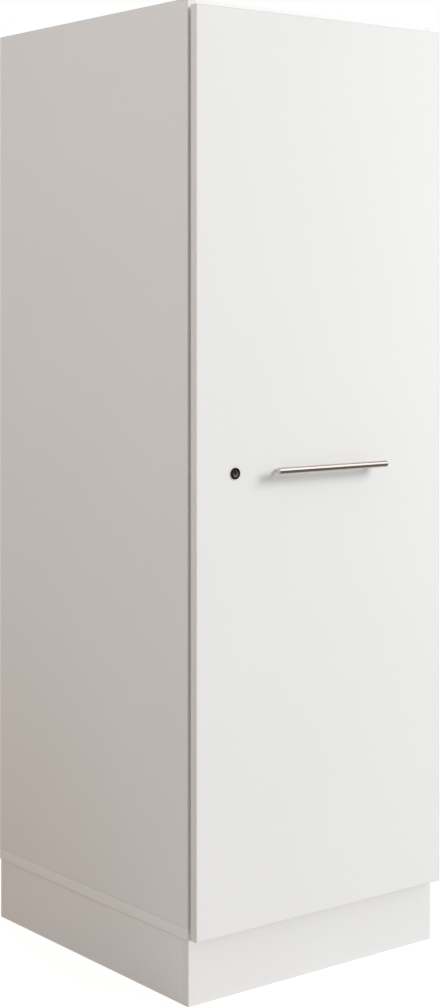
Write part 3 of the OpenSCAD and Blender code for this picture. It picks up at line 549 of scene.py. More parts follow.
@cache
def board_group():
    """Melamine faces with a fine pearl texture, and a chipboard core wherever the board is cut.

    A point is on a face where it lies on the low or the high side of the board's box along one of the
    directions that are faced. The faces darken in their last millimetre, where a strip or another board
    meets them: painted shade of the joint with a dark glue line in it. The distance to the edge is the
    middle one of the three distances to the box's sides, which is their sum less the least and the greatest.
    """
    tree, given, result, add = new_group(
        "faced board",
        {
            "Low": (0, 0, 0),
            "High": (1, 1, 1),
            "Faced": (1, 1, 1),
            "Face": (0.8, 0.8, 0.8, 1),
            "Light Chips": (0.5, 0.4, 0.2, 1),
            "Dark Chips": (0.2, 0.1, 0.1, 1),
            "Seam": 0.7,
        },
    )
    place = given["Place"]
    sides = []
    for corner in ("Low", "High"):
        sides.append(vectors(add, "ABSOLUTE", vectors(add, "SUBTRACT", place, given[corner])))
    nearest = vectors(add, "MINIMUM", *sides)
    bare = vectors(add, "SUBTRACT", (1, 1, 1), given["Faced"])
    least = folded(add, "MINIMUM", vectors(add, "ADD", nearest, bare))
    faced = maths(add, "LESS_THAN", least, FACE_REACH)

    past_least = maths(add, "SUBTRACT", folded(add, "ADD", nearest), folded(add, "MINIMUM", nearest))
    to_edge = maths(add, "SUBTRACT", past_least, folded(add, "MAXIMUM", nearest))
    # Painted shade with a dark glue line along the edges of each face
    seam_and_shade = ranged(add, to_edge, *SEAM_SHADE_LINE, given["Seam"], 1.0)
    tone = ranged(add, noise(add, place, scale=2.6, detail=3.0), 0.3, 0.7, 0.985, 1.0)
    face_colour = shaded(add, given["Face"], maths(add, "MULTIPLY", tone, seam_and_shade))
    face_height = maths(add, "MULTIPLY", noise(add, place, scale=900.0), 0.000018)
    face_rough = ranged(add, noise(add, place, scale=60.0), 0.3, 0.7, 0.47, 0.53)

    coarse, fine = cells(add, place, COARSE_CHIPS), cells(add, place, FINE_CHIPS)
    share = maths(add, "ADD", maths(add, "MULTIPLY", coarse[0], 0.65), maths(add, "MULTIPLY", fine[1], 0.35))
    core_colour = blend(add, share, given["Dark Chips"], given["Light Chips"])
    core_height = maths(add, "MULTIPLY", maths(add, "ADD", coarse[1], fine[2]), 0.00012)
    core_rough = 0.9

    link(blend(add, faced, core_colour, face_colour), result["Color"])
    link(blend(add, faced, core_rough, face_rough, "FLOAT"), result["Roughness"])
    link(bumped(add, blend(add, faced, core_height, face_height, "FLOAT")), result["Normal"])
    return tree


@cache
def moulding_group():
    """A moulded or painted skin: a colour with a faint mottle, an even sheen and a fine raised grain."""
    tree, given, result, add = new_group(
        "moulded skin",
        {
            "Base": (0.5, 0.5, 0.5, 1),
            "Mottle": 0.04,
            "Sheen": 0.4,
            "Grain Scale": 900.0,
            "Grain Height": 0.00002,
            "Uneven": 0.16,
        },
    )
    place = given["Place"]
    dark = maths(add, "MULTIPLY", noise(add, place, scale=35.0, detail=3.0), given["Mottle"])
    link(shaded(add, given["Base"], maths(add, "SUBTRACT", 1.0, dark)), result["Color"])
    link(swung(add, given["Sheen"], noise(add, place, scale=120.0), given["Uneven"]), result["Roughness"])
    grain = noise(add, place, given["Grain Scale"])
    link(bumped(add, maths(add, "MULTIPLY", grain, given["Grain Height"])), result["Normal"])
    return tree


@cache
def metal_group():
    """Worked metal: drawn or brushed lines along one direction, cloudy plating and fine handling marks."""
    tree, given, result, add = new_group(
        "worked metal",
        {
            "Base": (0.6, 0.6, 0.6, 1),
            "Line Scale": (40, 2400, 2400),
            "Line Height": 0.000004,
            "Sheen": 0.3,
            "Cloud": 0.08,
        },
    )
    place = given["Place"]
    lines = noise(add, stretched(add, place, given["Line Scale"]), scale=1.0, detail=3.0, roughness=0.6)
    cloud = noise(add, place, scale=45.0, detail=4.0, roughness=0.6)
    dark = maths(add, "MULTIPLY", maths(add, "ADD", cloud, lines), given["Cloud"])
    link(shaded(add, given["Base"], maths(add, "SUBTRACT", 1.0, dark)), result["Color"])
    link(swung(add, given["Sheen"], lines, 0.22), result["Roughness"])
    link(bumped(add, maths(add, "MULTIPLY", lines, given["Line Height"])), result["Normal"])
    return tree


@cache
def wood_group():
    """Beech: growth bands across the grain, short dark flecks along it and open pores."""
    tree, given, result, add = new_group(
        "beech grain",
        {"Light Wood": (0.6, 0.4, 0.2, 1), "Dark Wood": (0.4, 0.2, 0.1, 1), "Along": (14, 260, 260)},
    )
    along = stretched(add, given["Place"], given["Along"])
    bands = noise(add, along, scale=1.0, detail=4.0, roughness=0.6)
    flecks = noise(add, along, scale=6.0, detail=1.0)
    fleck = ranged(add, flecks, 0.56, 0.66, 0.0, 0.5)
    share = maths(add, "ADD", ranged(add, bands, 0.35, 0.65, 0.0, 0.6), fleck)
    link(blend(add, share, given["Light Wood"], given["Dark Wood"]), result["Color"])
    link(ranged(add, bands, 0.3, 0.7, 0.5, 0.64), result["Roughness"])
    link(bumped(add, maths(add, "MULTIPLY", flecks, 0.00005)), result["Normal"])
    return tree


def finish(name, group, values, metallic=0.0, specular=0.5):
    """A material that reads its colour, roughness and normal from a shared group with its own values."""
    material = bpy.data.materials.new(name)
    add = empty_nodes(material)
    shader = add("ShaderNodeBsdfPrincipled")
    shader.inputs["Metallic"].default_value = metallic
    shader.inputs["Specular IOR Level"].default_value = specular
    pattern = add("ShaderNodeGroup", node_tree=group())
    link(add("ShaderNodeTexCoord").outputs["Object"], pattern.inputs["Place"])
    for label, value in values.items():
        socket = pattern.inputs[label]
        socket.default_value = (*value, 1.0) if socket.type == "RGBA" else value
    for made, wanted in (("Color", "Base Color"), ("Roughness", "Roughness"), ("Normal", "Normal")):
        link(pattern.outputs[made], shader.inputs[wanted])
    add("ShaderNodeOutputMaterial", shader.outputs[0])
    return material


def paint(node, material):
    """Gives a CAD node a finish through its object's material slots."""
    for place in NODES[node].material_slots:
        place.link = "OBJECT"
        place.material = material


def paint_board(node, faced, seam_and_shade, face):
    """Gives a board its faces along the directions that are faced, and a chipboard core elsewhere."""
    colours = bpy.context.scene.cabinet_colours
    low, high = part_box(node)
    values = {
        "Low": low,
        "High": high,
        "Faced": faced,
        "Face": face,
        "Light Chips": colours.chip_light,
        "Dark Chips": colours.chip_dark,
        "Seam": seam_and_shade,
    }
    paint(node, finish(node + "_board", board_group, values, specular=0.35))


def moulded(name, colour, sheen, mottle, scale, height=0.00002, specular=0.5, uneven=0.16):
    """A moulded or painted finish."""
    values = {
        "Base": colour,
        "Mottle": mottle,
        "Sheen": sheen,
        "Grain Scale": scale,
        "Grain Height": height,
        "Uneven": uneven,
    }
    return finish(name, moulding_group, values, specular=specular)


# Each metal's material, its colour, its sheen, its lines a metre each way, their height and its cloud
METALS = {
    "zinc": ("zinc_plating", "zinc", 0.34, (700, 700, 700), 0.000003, 0.12),
    "rod_zinc": ("rod_zinc", "zinc", 0.32, (2200, 2200, 30), 0.000004, 0.12),
    "nickel": ("nickel_plating", "nickel", 0.24, (900, 900, 60), 0.000002, 0.07),
    "steel": ("satin_steel", "satin_steel", 0.14, (3200, 60, 60), 0.0000035, 0.05),
    # The posts' steel is a lighter copy of the bar's: painted light
    "post": ("post_steel_painted_light", "post_steel_painted_light", 0.24, (300, 2600, 300), 0.000003, 0.05),
    "lock": ("lock_steel", "lock_steel", 0.33, (1500, 1500, 1500), 0.000003, 0.1),
}


@cache
def metal(kind):
    """A metal finish, shared by every piece of its kind."""
    name, colour, sheen, lines, height, cloud = METALS[kind]
    values = {
        "Base": getattr(bpy.context.scene.cabinet_colours, colour),
        "Sheen": sheen,
        "Line Scale": lines,
        "Line Height": height,
        "Cloud": cloud,
    }
    return finish(name, metal_group, values, metallic=1.0)


# The plinth boards that take the lighter white, painted light
PLINTH_SIDES = ("plinth_left", "plinth_right", "plinth_back")
# How bright a face is at its very edge under its painted shade and glue line, as a share of its middle
PLINTH_SEAM_SHADE = 1.0
DOOR_SEAM_SHADE = 0.93
BOARD_SEAM_SHADE = 0.72
# Whether each board has its melamine faces along the width, the depth and the height
UPRIGHT, LEVEL, ACROSS = (1, 0, 1), (0, 0, 1), (0, 1, 0)
BOARD_FACES = {
    "side_panel_left": UPRIGHT,
    "side_panel_right": UPRIGHT,
    "top_panel": LEVEL,
    "bottom_board": LEVEL,
    "mid_shelf": LEVEL,
    "back_panel_lower": ACROSS,
    "back_panel_upper": ACROSS,
    "back_rail_bottom": ACROSS,
    "back_rail_middle": ACROSS,
    "back_rail_top": ACROSS,
    "plinth_front": (1, 1, 0),
    "plinth_back": (1, 1, 0),
    "plinth_left": (1, 0, 0),
    "plinth_right": (1, 0, 0),
    "plinth_bearers": (1, 0, 0),
    "door_panel": ACROSS,
}


class CABINET_OT_boards(bpy.types.Operator):
    """Finish the boards of the carcass, the plinth and the door"""

    bl_idname = "cabinet.boards"
    bl_label = "Boards"

    def execute(self, context):
        colours = context.scene.cabinet_colours
        for node, faced in BOARD_FACES.items():
            # How dark each board's painted shade and glue line at its edges is
            seam_and_shade = PLINTH_SEAM_SHADE if node.startswith("plinth") else BOARD_SEAM_SHADE
            if node == "door_panel":
                seam_and_shade = DOOR_SEAM_SHADE
            # The plinth's sides take a lighter copy of the board white, painted light
            face = colours.plinth_painted_light_white if node in PLINTH_SIDES else colours.board_white
            paint_board(node, faced, seam_and_shade, face)
        wood = {"Light Wood": colours.beech_light, "Dark Wood": colours.beech_dark}
        paint("plinth_blocks", finish("beech_block", wood_group, wood | {"Along": (260, 14, 260)}))
        for node in ("carcass_dowels", "plinth_dowels"):
            paint(node, finish(node + "_beech", wood_group, wood | {"Along": (90, 90, 260)}))
        return {"FINISHED"}


def edge_strip(name, colour):
    """The plastic of an edge strip, smoother and more even than a moulding."""
    return moulded(name, colour, sheen=0.34, mottle=0.02, scale=500.0, height=0.000006, uneven=0.05)


def strip_profile(width, depth, ease):
    """The section of an edge strip: a flat back, and outer corners that are eased."""
    corners = [(0, 0), (0, depth), (width, depth), (width, 0)]
    return eased(corners, (0, ease, ease, 0))


def rod_profile(radius, length, ease, steps=3):
    """The profile of a round rod, from one end of its axis to the other, with eased rims."""
    return eased([(0, 0), (radius, 0), (radius, length), (0, length)], (0, ease, ease, 0), steps)


class CABINET_OT_strips(bpy.types.Operator):
    """Edge strips of the carcass boards and of the door"""

    bl_idname = "cabinet.strips"
    bl_label = "Edge strips"

    def execute(self, context):
        self.carcass(context.scene.cabinet_sizes, context.scene.cabinet_colours)
        self.door(context.scene.cabinet_sizes, context.scene.cabinet_colours)
        return {"FINISHED"}

    def carcass(self, sizes, colours):
        """A strip along the longest side of each solid, whose thinnest side is its thickness.

        Strips that are thin in depth lie on the front edges and face forwards. The two others lie on the
        ends of the bottom board and face away from its middle.
        """
        level_parts, other_parts = [], []
        for points in solids("carcass_edging"):
            low, high = points.min(0), points.max(0)
            thin, wide, long = np.argsort(high - low)
            outward = -1 if thin == 1 or low[0] < 0 else 1
            start = np.array(low)
            start[thin] = high[thin] if outward < 0 else low[thin]
            end = np.array(start)
            end[long] = high[long]
            size = high - low
            profile = strip_profile(size[wide], size[thin], sizes.carcass_strip_ease)
            parts = level_parts if (thin, long) == (1, 0) else other_parts
            parts.append(carried(profile, [start, end], np.eye(3)[wide], np.eye(3)[thin] * outward))
        slot, covered = "white_edging", ("carcass_edging",)
        # The level front strips take a lighter copy of the strip white: painted light on the top strip
        level_painted_light_white = edge_strip("level_edge_strip_painted_light", colours.level_strip_painted_light_white)
        add_piece("level_front_strips", level_parts, level_painted_light_white, "carcass", covered)
        # The other strips take a darker copy of the strip white: painted shade in the gap beside the door
        white = edge_strip("carcass_edge_strip_painted_shade", colours.strip_painted_shade_white)
        add_piece("carcass_strips", other_parts, white, "carcass", covered)

    def door(self, sizes, colours):
        """One strip round all four edges of the door, which turns each corner in a quarter circle."""
        core_low, core_high = np.array(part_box("door_panel"))
        out_low, out_high = np.array(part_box("door_edging"))
        depth = core_low[0] - out_low[0]
        profile = strip_profile(out_high[1] - out_low[1], depth, sizes.door_strip_ease)
        per_corner = 5
        turn = (np.linspace(0, math.pi / 2, per_corner) + np.arange(4)[:, None] * math.pi / 2).ravel()
        out = np.stack([np.cos(turn), 0 * turn, np.sin(turn)], axis=1)
        corner_x = np.repeat([core_high[0], core_low[0], core_low[0], core_high[0]], per_corner)
        corner_z = np.repeat([core_high[2], core_high[2], core_low[2], core_low[2]], per_corner)
        path = np.stack([corner_x, np.full_like(corner_x, out_low[1]), corner_z], axis=1)
        strip = [carried(profile, path, Y, out, closed=True)]
        # The door's strip takes a darker copy of the strip white: painted shade on its edge
        white = edge_strip("door_edge_strip_painted_shade", colours.door_strip_painted_shade_white)
        add_piece("door_strip", strip, white, "door", ("door_edging",))


class CABINET_OT_handle(bpy.types.Operator):
    """Round bar handle on two posts"""

    bl_idname = "cabinet.handle"
    bl_label = "Handle"

    def execute(self, context):
        sizes = context.scene.cabinet_sizes
        low, high = np.array(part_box("handle_bar"))
        middle = (low + high) / 2
        profile = rod_profile((high - low)[1:].min() / 2, high[0] - low[0], sizes.bar_end_ease, steps=5)
        bar = turned(profile, (low[0], middle[1], middle[2]), X, sizes.bar_columns)
        slot, crease = "satin_steel", math.radians(50)
        add_piece("handle_rod", [bar], metal("steel"), "door", ("handle_bar",), crease)
        parts, rim = [], 0.0002
        for low, high, centre, radius in round_solids("handle_posts"):
            length = high[1] - low[1]
            profile = [(0, 0), (radius - rim, 0), (radius, rim), (radius, length), (0, length)]
            parts.append(turned(profile, (centre[0], high[1], centre[2]), -Y, columns=40))
        add_piece("handle_feet", parts, metal("post"), "door", ("handle_posts",))
        return {"FINISHED"}


# The play between the lock's plug and its ring, and how far the ring's mouth widens over its depth
PLUG_PLAY = 0.0003
MOUTH_WIDENING = 0.0016
MOUTH_DEPTH = 0.0012
# How deep the plug's face and its key slot lie, the length of its thick part and the radius of its stem
FACE_SUNK = 0.0007
SLOT_DEPTH = 0.016
PLUG_NECK = 0.0275
STEM_RADIUS = 0.0025
# Shares of the plug's radius where its sunk face ends and where its level border starts
FACE_END = 0.74
BORDER_START = 0.94
# The key slot's outline at its floor, at its mouth and past its chamfer, as shares of its size
SLOT_SHARES = (0.96, 1.0, 1.08)
SLOT_CHAMFER = 0.0003
# How far in and how far down the points of the plug's eased rim lie
PLUG_RIM = ((0.0003, 0.0), (0.0001, 0.0001), (0.0, 0.0004))


class CABINET_OT_lock(bpy.types.Operator):
    """Black ring, barrel and plug of the lock"""

    bl_idname = "cabinet.lock"
    bl_label = "Lock"

    def execute(self, context):
        sizes = context.scene.cabinet_sizes
        ring_low, ring_high = np.array(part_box("lock_rosette"))
        plug_low, plug_high = np.array(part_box("lock_plug"))
        centre = (ring_low + ring_high) / 2
        plug_radius = (plug_high[0] - plug_low[0]) / 2
        radius = (ring_high[0] - ring_low[0]) / 2 - sizes.ring_slack
        height = ring_high[1] - ring_low[1]
        section = self.ring(radius, plug_radius + PLUG_PLAY, height, sizes.ring_lip)
        ring = turned(section, (centre[0], ring_high[1], centre[2]), -Y, columns=64, ring=True)
        look = {"sheen": 0.34, "mottle": 0.1, "scale": 1500.0, "height": 0.000006, "specular": 0.22}
        black = moulded("ring_black", context.scene.cabinet_colours.ring_black, **look)
        crease = math.radians(60)
        add_piece("lock_ring", [ring], black, "door", ("lock_rosette",), crease)

        place = (centre[0], plug_low[1], centre[2])
        plug = self.plug(plug_radius, plug_high[1] - plug_low[1], place, sizes)
        lock, slot, crease = metal("lock"), "lock_metal", math.radians(18)
        add_piece("lock_core", [plug], lock, "lock_spindle", ("lock_plug",), crease)
        paint("lock_barrel", lock)
        eased_copy("lock_gear", "lock_pinion", lock, "lock_spindle", sizes.pressing_ease / 2)
        return {"FINISHED"}

    def ring(self, radius, bore, height, lip):
        """The section of the black ring, whose mouth slopes in to its bore."""
        mouth = [(bore + MOUTH_WIDENING, height), (bore, height - MOUTH_DEPTH)]
        corners = [(bore, 0), (radius, 0), (radius, height), *mouth]
        return eased(corners, (0.0001, 0.0002, lip, 0.0003, 0.0002), steps=5)

    def plug(self, radius, deep, place, sizes):
        """The plug, from its key slot's floor over its sunk face and its rim to the end of its stem.

        Its rings have a point at each corner of the slot.
        """
        slot_wide, slot_high = sizes.key_slot_width, sizes.key_slot_height
        turn = math.atan2(slot_wide, slot_high)
        corners = np.array([turn, math.pi - turn, math.pi + turn, 2 * math.pi - turn])
        angle = np.unique(np.concatenate([whole_turn(48), corners]))
        slot_foot, slot_mouth, slot_edge = SLOT_SHARES
        rings = [
            (0.0, 0.0, -SLOT_DEPTH),
            (slot_foot, 0.0, -SLOT_DEPTH),
            (slot_mouth, 0.0, -FACE_SUNK - SLOT_CHAMFER),
            (slot_edge, 0.0, -FACE_SUNK),
            (0.0, radius * FACE_END, -FACE_SUNK),
            (0.0, radius * BORDER_START, 0.0),
            *((0.0, radius - inward, -down) for inward, down in PLUG_RIM),
            (0.0, radius, -PLUG_NECK),
            (0.0, STEM_RADIUS, -PLUG_NECK),
            (0.0, STEM_RADIUS, -deep),
            (0.0, 0.0, -deep),
        ]
        outline = slot_reach(angle, slot_high, slot_wide)
        return punched(rings, outline, angle, place, -Y, shift=(0.0, 0.0, sizes.key_slot_lift))


class CABINET_OT_rods(bpy.types.Operator):
    """Lock case, rods, guides and keepers behind the door"""

    bl_idname = "cabinet.rods"
    bl_label = "Lock rods"

    def execute(self, context):
        sizes = context.scene.cabinet_sizes
        zinc, drawn = metal("zinc"), metal("rod_zinc")
        slot, ease = "zinc_plated_steel", sizes.pressing_ease
        eased_copy("lock_box", "lock_case", zinc, "door", ease * 1.6, segments=3)
        eased_copy("keeper_plates", "rod_keepers", zinc, "carcass", ease)
        eased_copy("upper_bolt_rod", "lock_rod_upper", drawn, "upper_rod", ease / 2)
        eased_copy("lower_bolt_rod", "lock_rod_lower", drawn, "lower_rod", ease / 2)
        look = {"sheen": 0.42, "mottle": 0.04, "scale": 700.0, "height": 0.000015}
        nylon = moulded("guide_nylon", context.scene.cabinet_colours.nylon, **look)
        eased_copy("rod_staples", "rod_guides", nylon, "door", sizes.moulding_ease, segments=3)
        return {"FINISHED"}


class CABINET_OT_hinges(bpy.types.Operator):
    """Cups, arms, pins and mounting plates of the concealed hinges"""

    bl_idname = "cabinet.hinges"
    bl_label = "Hinges"

    def execute(self, context):
        ease = context.scene.cabinet_sizes.pressing_ease
        nickel, slot = metal("nickel"), "nickel_plated_steel"
        eased_copy("hinge_bowls", "hinge_cups", nickel, "door", ease)
        eased_copy("hinge_levers", "hinge_arms", nickel, "carcass", ease)
        eased_copy("hinge_bases", "hinge_plates", nickel, "carcass", ease)
        parts, pin_ease = [], 0.0004
        for low, high, centre, radius in round_solids("hinge_pins"):
            profile = rod_profile(radius, high[2] - low[2], pin_ease)
            parts.append(turned(profile, (centre[0], centre[1], low[2]), Z, columns=24))
        add_piece("hinge_axles", parts, metal("zinc"), "door", ("hinge_pins",))
        return {"FINISHED"}


# A pan head: its cross as shares of its radius, the share of its outline that the cross keeps at its
# floor, and where that floor and the top of the rim lie as shares of the head's height
CROSS_LENGTH = 1.15
CROSS_WIDTH = 0.3
CROSS_FOOT = 0.5
CROSS_FLOOR = 0.35
RIM_HEIGHT = 0.3
# The dome's rise as a share of the head's height, and how many rises below its top each point lies:
# at the mouth of the cross, and then on rings at these shares of the radius
DOME_RISE = 0.42
CROSS_MOUTH = 0.12
DOME_RINGS = ((0.72, 0.42), (0.91, 0.82), (0.99, 1.25))


def pan_screw(points, columns):
    """A pan head with a cross recess on a plain shank, in place of a CAD screw.

    Its axis is the longest side of the CAD screw's box, and its head is the end that reaches furthest
    from that axis. Its rings go up the sloping walls of the recess, over the domed top, down the rim,
    in under the head and down the shank.
    """
    low, high = points.min(0), points.max(0)
    axis = int(np.argmax(high - low))
    middle = (low + high) / 2
    away = np.linalg.norm(np.delete(points - middle, axis, 1), axis=1)
    level = points[:, axis]
    radius = away.max()
    rim = level[away > 0.9 * radius]
    up = 1 if rim.mean() > middle[axis] else -1
    seat = rim.min() if up > 0 else rim.max()
    height = rim.max() - rim.min()
    tail = low[axis] if up > 0 else high[axis]
    shank = away[np.abs(level - tail) < 1e-5].max()
    length = abs(seat - tail)
    place = np.array(middle)
    place[axis] = seat
    angle = whole_turn(columns)
    dome = height * DOME_RISE
    rings = [
        (0.0, 0.0, height * CROSS_FLOOR),
        (CROSS_FOOT, 0.0, height * CROSS_FLOOR),
        (1.0, 0.0, height - dome * CROSS_MOUTH),
        *((0.0, radius * share, height - dome * fall) for share, fall in DOME_RINGS),
        (0.0, radius, height * RIM_HEIGHT),
        (0.0, radius, 0.0),
        (0.0, shank, 0.0),
        (0.0, shank, -length),
        (0.0, 0.0, -length),
    ]
    cross = cross_reach(angle, radius * CROSS_LENGTH, radius * CROSS_WIDTH)
    return punched(rings, cross, angle, place, np.eye(3)[axis] * up)


# The length and width of the cross in a cam, its depth, and the share of its outline that it keeps at
# its floor
CAM_CROSS = (0.008, 0.0016)
CAM_CROSS_DEPTH = 0.0025
CAM_CROSS_FOOT = 0.85
# The depth of the dish round it, the shares of the radius where the dish's wall starts and ends, and
# how far the cam's rim is eased
CAM_DISH_DEPTH = 0.0006
CAM_DISH_WALL = (0.70, 0.74)
CAM_RIM = 0.0003


def cam_disc(low, height, centre, radius):
    """A cam, with a cross in a shallow dish in its top."""
    floor, dish = height - CAM_CROSS_DEPTH, height - CAM_DISH_DEPTH
    wall_start, wall_end = CAM_DISH_WALL
    rings = [
        (0.0, 0.0, floor),
        (CAM_CROSS_FOOT, 0.0, floor),
        (1.0, 0.0, dish),
        (0.0, radius * wall_start, dish),
        (0.0, radius * wall_end, height),
        (0.0, radius - CAM_RIM, height),
        (0.0, radius, height - CAM_RIM),
        (0.0, radius, 0.0),
        (0.0, 0.0, 0.0),
    ]
    angle = whole_turn(48)
    return punched(rings, cross_reach(angle, *CAM_CROSS), angle, (centre[0], centre[1], low[2]), Z)


# The nodes of the screws that ride on each body
SCREWS = {
    "carcass": (
        "bottom_board_screws",
        "back_panel_screws",
        "shelf_angle_screws",
        "plinth_screws",
        "hinge_plate_screws",
        "hinge_clamp_screws",
        "hinge_adjusters",
        "rod_keeper_screws",
    ),
    "door": ("hinge_cup_screws", "handle_screws", "lock_case_screws", "rod_guide_screws"),
}


class CABINET_OT_screws(bpy.types.Operator):
    """Cross-head screws, and the cams and bolts that hold the top"""

    bl_idname = "cabinet.screws"
    bl_label = "Screws and cams"

    def execute(self, context):
        columns = context.scene.cabinet_sizes.screw_columns
        zinc, slot = metal("zinc"), "zinc_plated_steel"
        for body, nodes in SCREWS.items():
            for node in nodes:
                parts = [pan_screw(points, columns) for points in solids(node)]
                add_piece(node.replace("screws", "pan_heads") + "_fine", parts, zinc, body, (node,))
        parts = []
        for low, high, centre, radius in round_solids("top_cams"):
            parts.append(cam_disc(low, high[2] - low[2], centre, radius))
        add_piece("cam_discs", parts, zinc, "carcass", ("top_cams",))
        paint("top_cam_bolts", zinc)
        return {"FINISHED"}


# The radius and the length of a buffer's peg, and how far each corner of the buffer's profile is eased:
# the peg's foot, the base's rim and the dome's rim
PEG_RADIUS = 0.0025
PEG_LENGTH = 0.008
BUFFER_EASES = (0, 0.0003, 0, 0.0004, 0.0022, 0)


class CABINET_OT_fittings(bpy.types.Operator):
    """Steel angles under the shelf and rubber buffers on the door"""

    bl_idname = "cabinet.fittings"
    bl_label = "Shelf angles and buffers"

    def execute(self, context):
        sizes, colours = context.scene.cabinet_sizes, context.scene.cabinet_colours
        white = moulded("angle_paint", colours.angle_white, sheen=0.36, mottle=0.03, scale=420.0)
        eased_copy("shelf_rails", "shelf_angles", white, "carcass", sizes.rolling_ease, segments=3)
        look = {"sheen": 0.62, "mottle": 0.12, "scale": 1400.0, "height": 0.00003}
        rubber = moulded("buffer_rubber", colours.rubber, **look)
        parts = []
        for low, high, centre, radius in round_solids("door_buffers"):
            length = high[1] - low[1]
            peg = [(0, 0), (PEG_RADIUS, 0), (PEG_RADIUS, PEG_LENGTH)]
            corners = [*peg, (radius, PEG_LENGTH), (radius, length), (0, length)]
            place = (centre[0], low[1], centre[2])
            parts.append(turned(eased(corners, BUFFER_EASES, steps=5), place, Y, columns=40))
        crease = math.radians(60)
        add_piece("buffer_domes", parts, rubber, "door", ("door_buffers",), crease)
        return {"FINISHED"}


WHITE = (1, 1, 1, 1)
# How far the floor lies under the cabinet and reaches each way, and the grey and the glow that show it
FLOOR_DROP = 0.0003
FLOOR_REACH = 14
FLOOR_GREY = (0.36, 0.36, 0.36, 1)
FLOOR_GLOW = 0.8
# The middle of the floor's patch on the left, and how far from there it starts to fade and has faded out
PATCH_MIDDLE = (-1.0, 0.9, 0.0)
PATCH_FADE = (0.5, 1.6)
# The corners of the cards that only reflections see, and how bright they are
CARDS = {
    "floor_flag": [(-2.6, -6.5, 0.002), (6.5, -6.5, 0.002), (6.5, -0.35, 0.002), (-2.6, -0.35, 0.002)],
    "low_flag": [(7.0, -1.0, 0.0), (7.0, -1.0, 1.5), (-2.6, -7.5, 1.5), (-2.6, -7.5, 0.0)],
    "side_flag": [(3.0, -1.1, 2.0), (3.0, -1.1, 7.0), (3.0, 0.6, 7.0), (3.0, 0.6, 2.0)],
    "lamp_face": [(8.3, -2.6, 1.75), (8.3, -2.6, 9.8), (2.4, -7.4, 9.8), (2.4, -7.4, 1.75)],
}
FLAG_COLOUR = (0.200, 0.180, 0.165, 1)
LAMP_FACE_GLOW = 1.75
# The place on the door that every lamp faces
LAMP_AIM = (0.0, -0.35, 1.05)


def light_paths(add):
    """One where the camera, a reflection or a view through glass looks, and zero for other light."""
    rays = add("ShaderNodeLightPath").outputs
    shown = maths(add, "MAXIMUM", rays["Is Camera Ray"], rays["Is Glossy Ray"])
    return maths(add, "MAXIMUM", shown, rays["Is Transmission Ray"])


def stage_sheet(name, points, material):
    """A flat sheet of the stage with four corners."""
    mesh = bpy.data.meshes.new(name)
    mesh.from_pydata(points, [], [(0, 1, 2, 3)])
    mesh.materials.append(material)
    sheet = bpy.data.objects.new(name, mesh)
    bpy.context.scene.collection.objects.link(sheet)
    return sheet


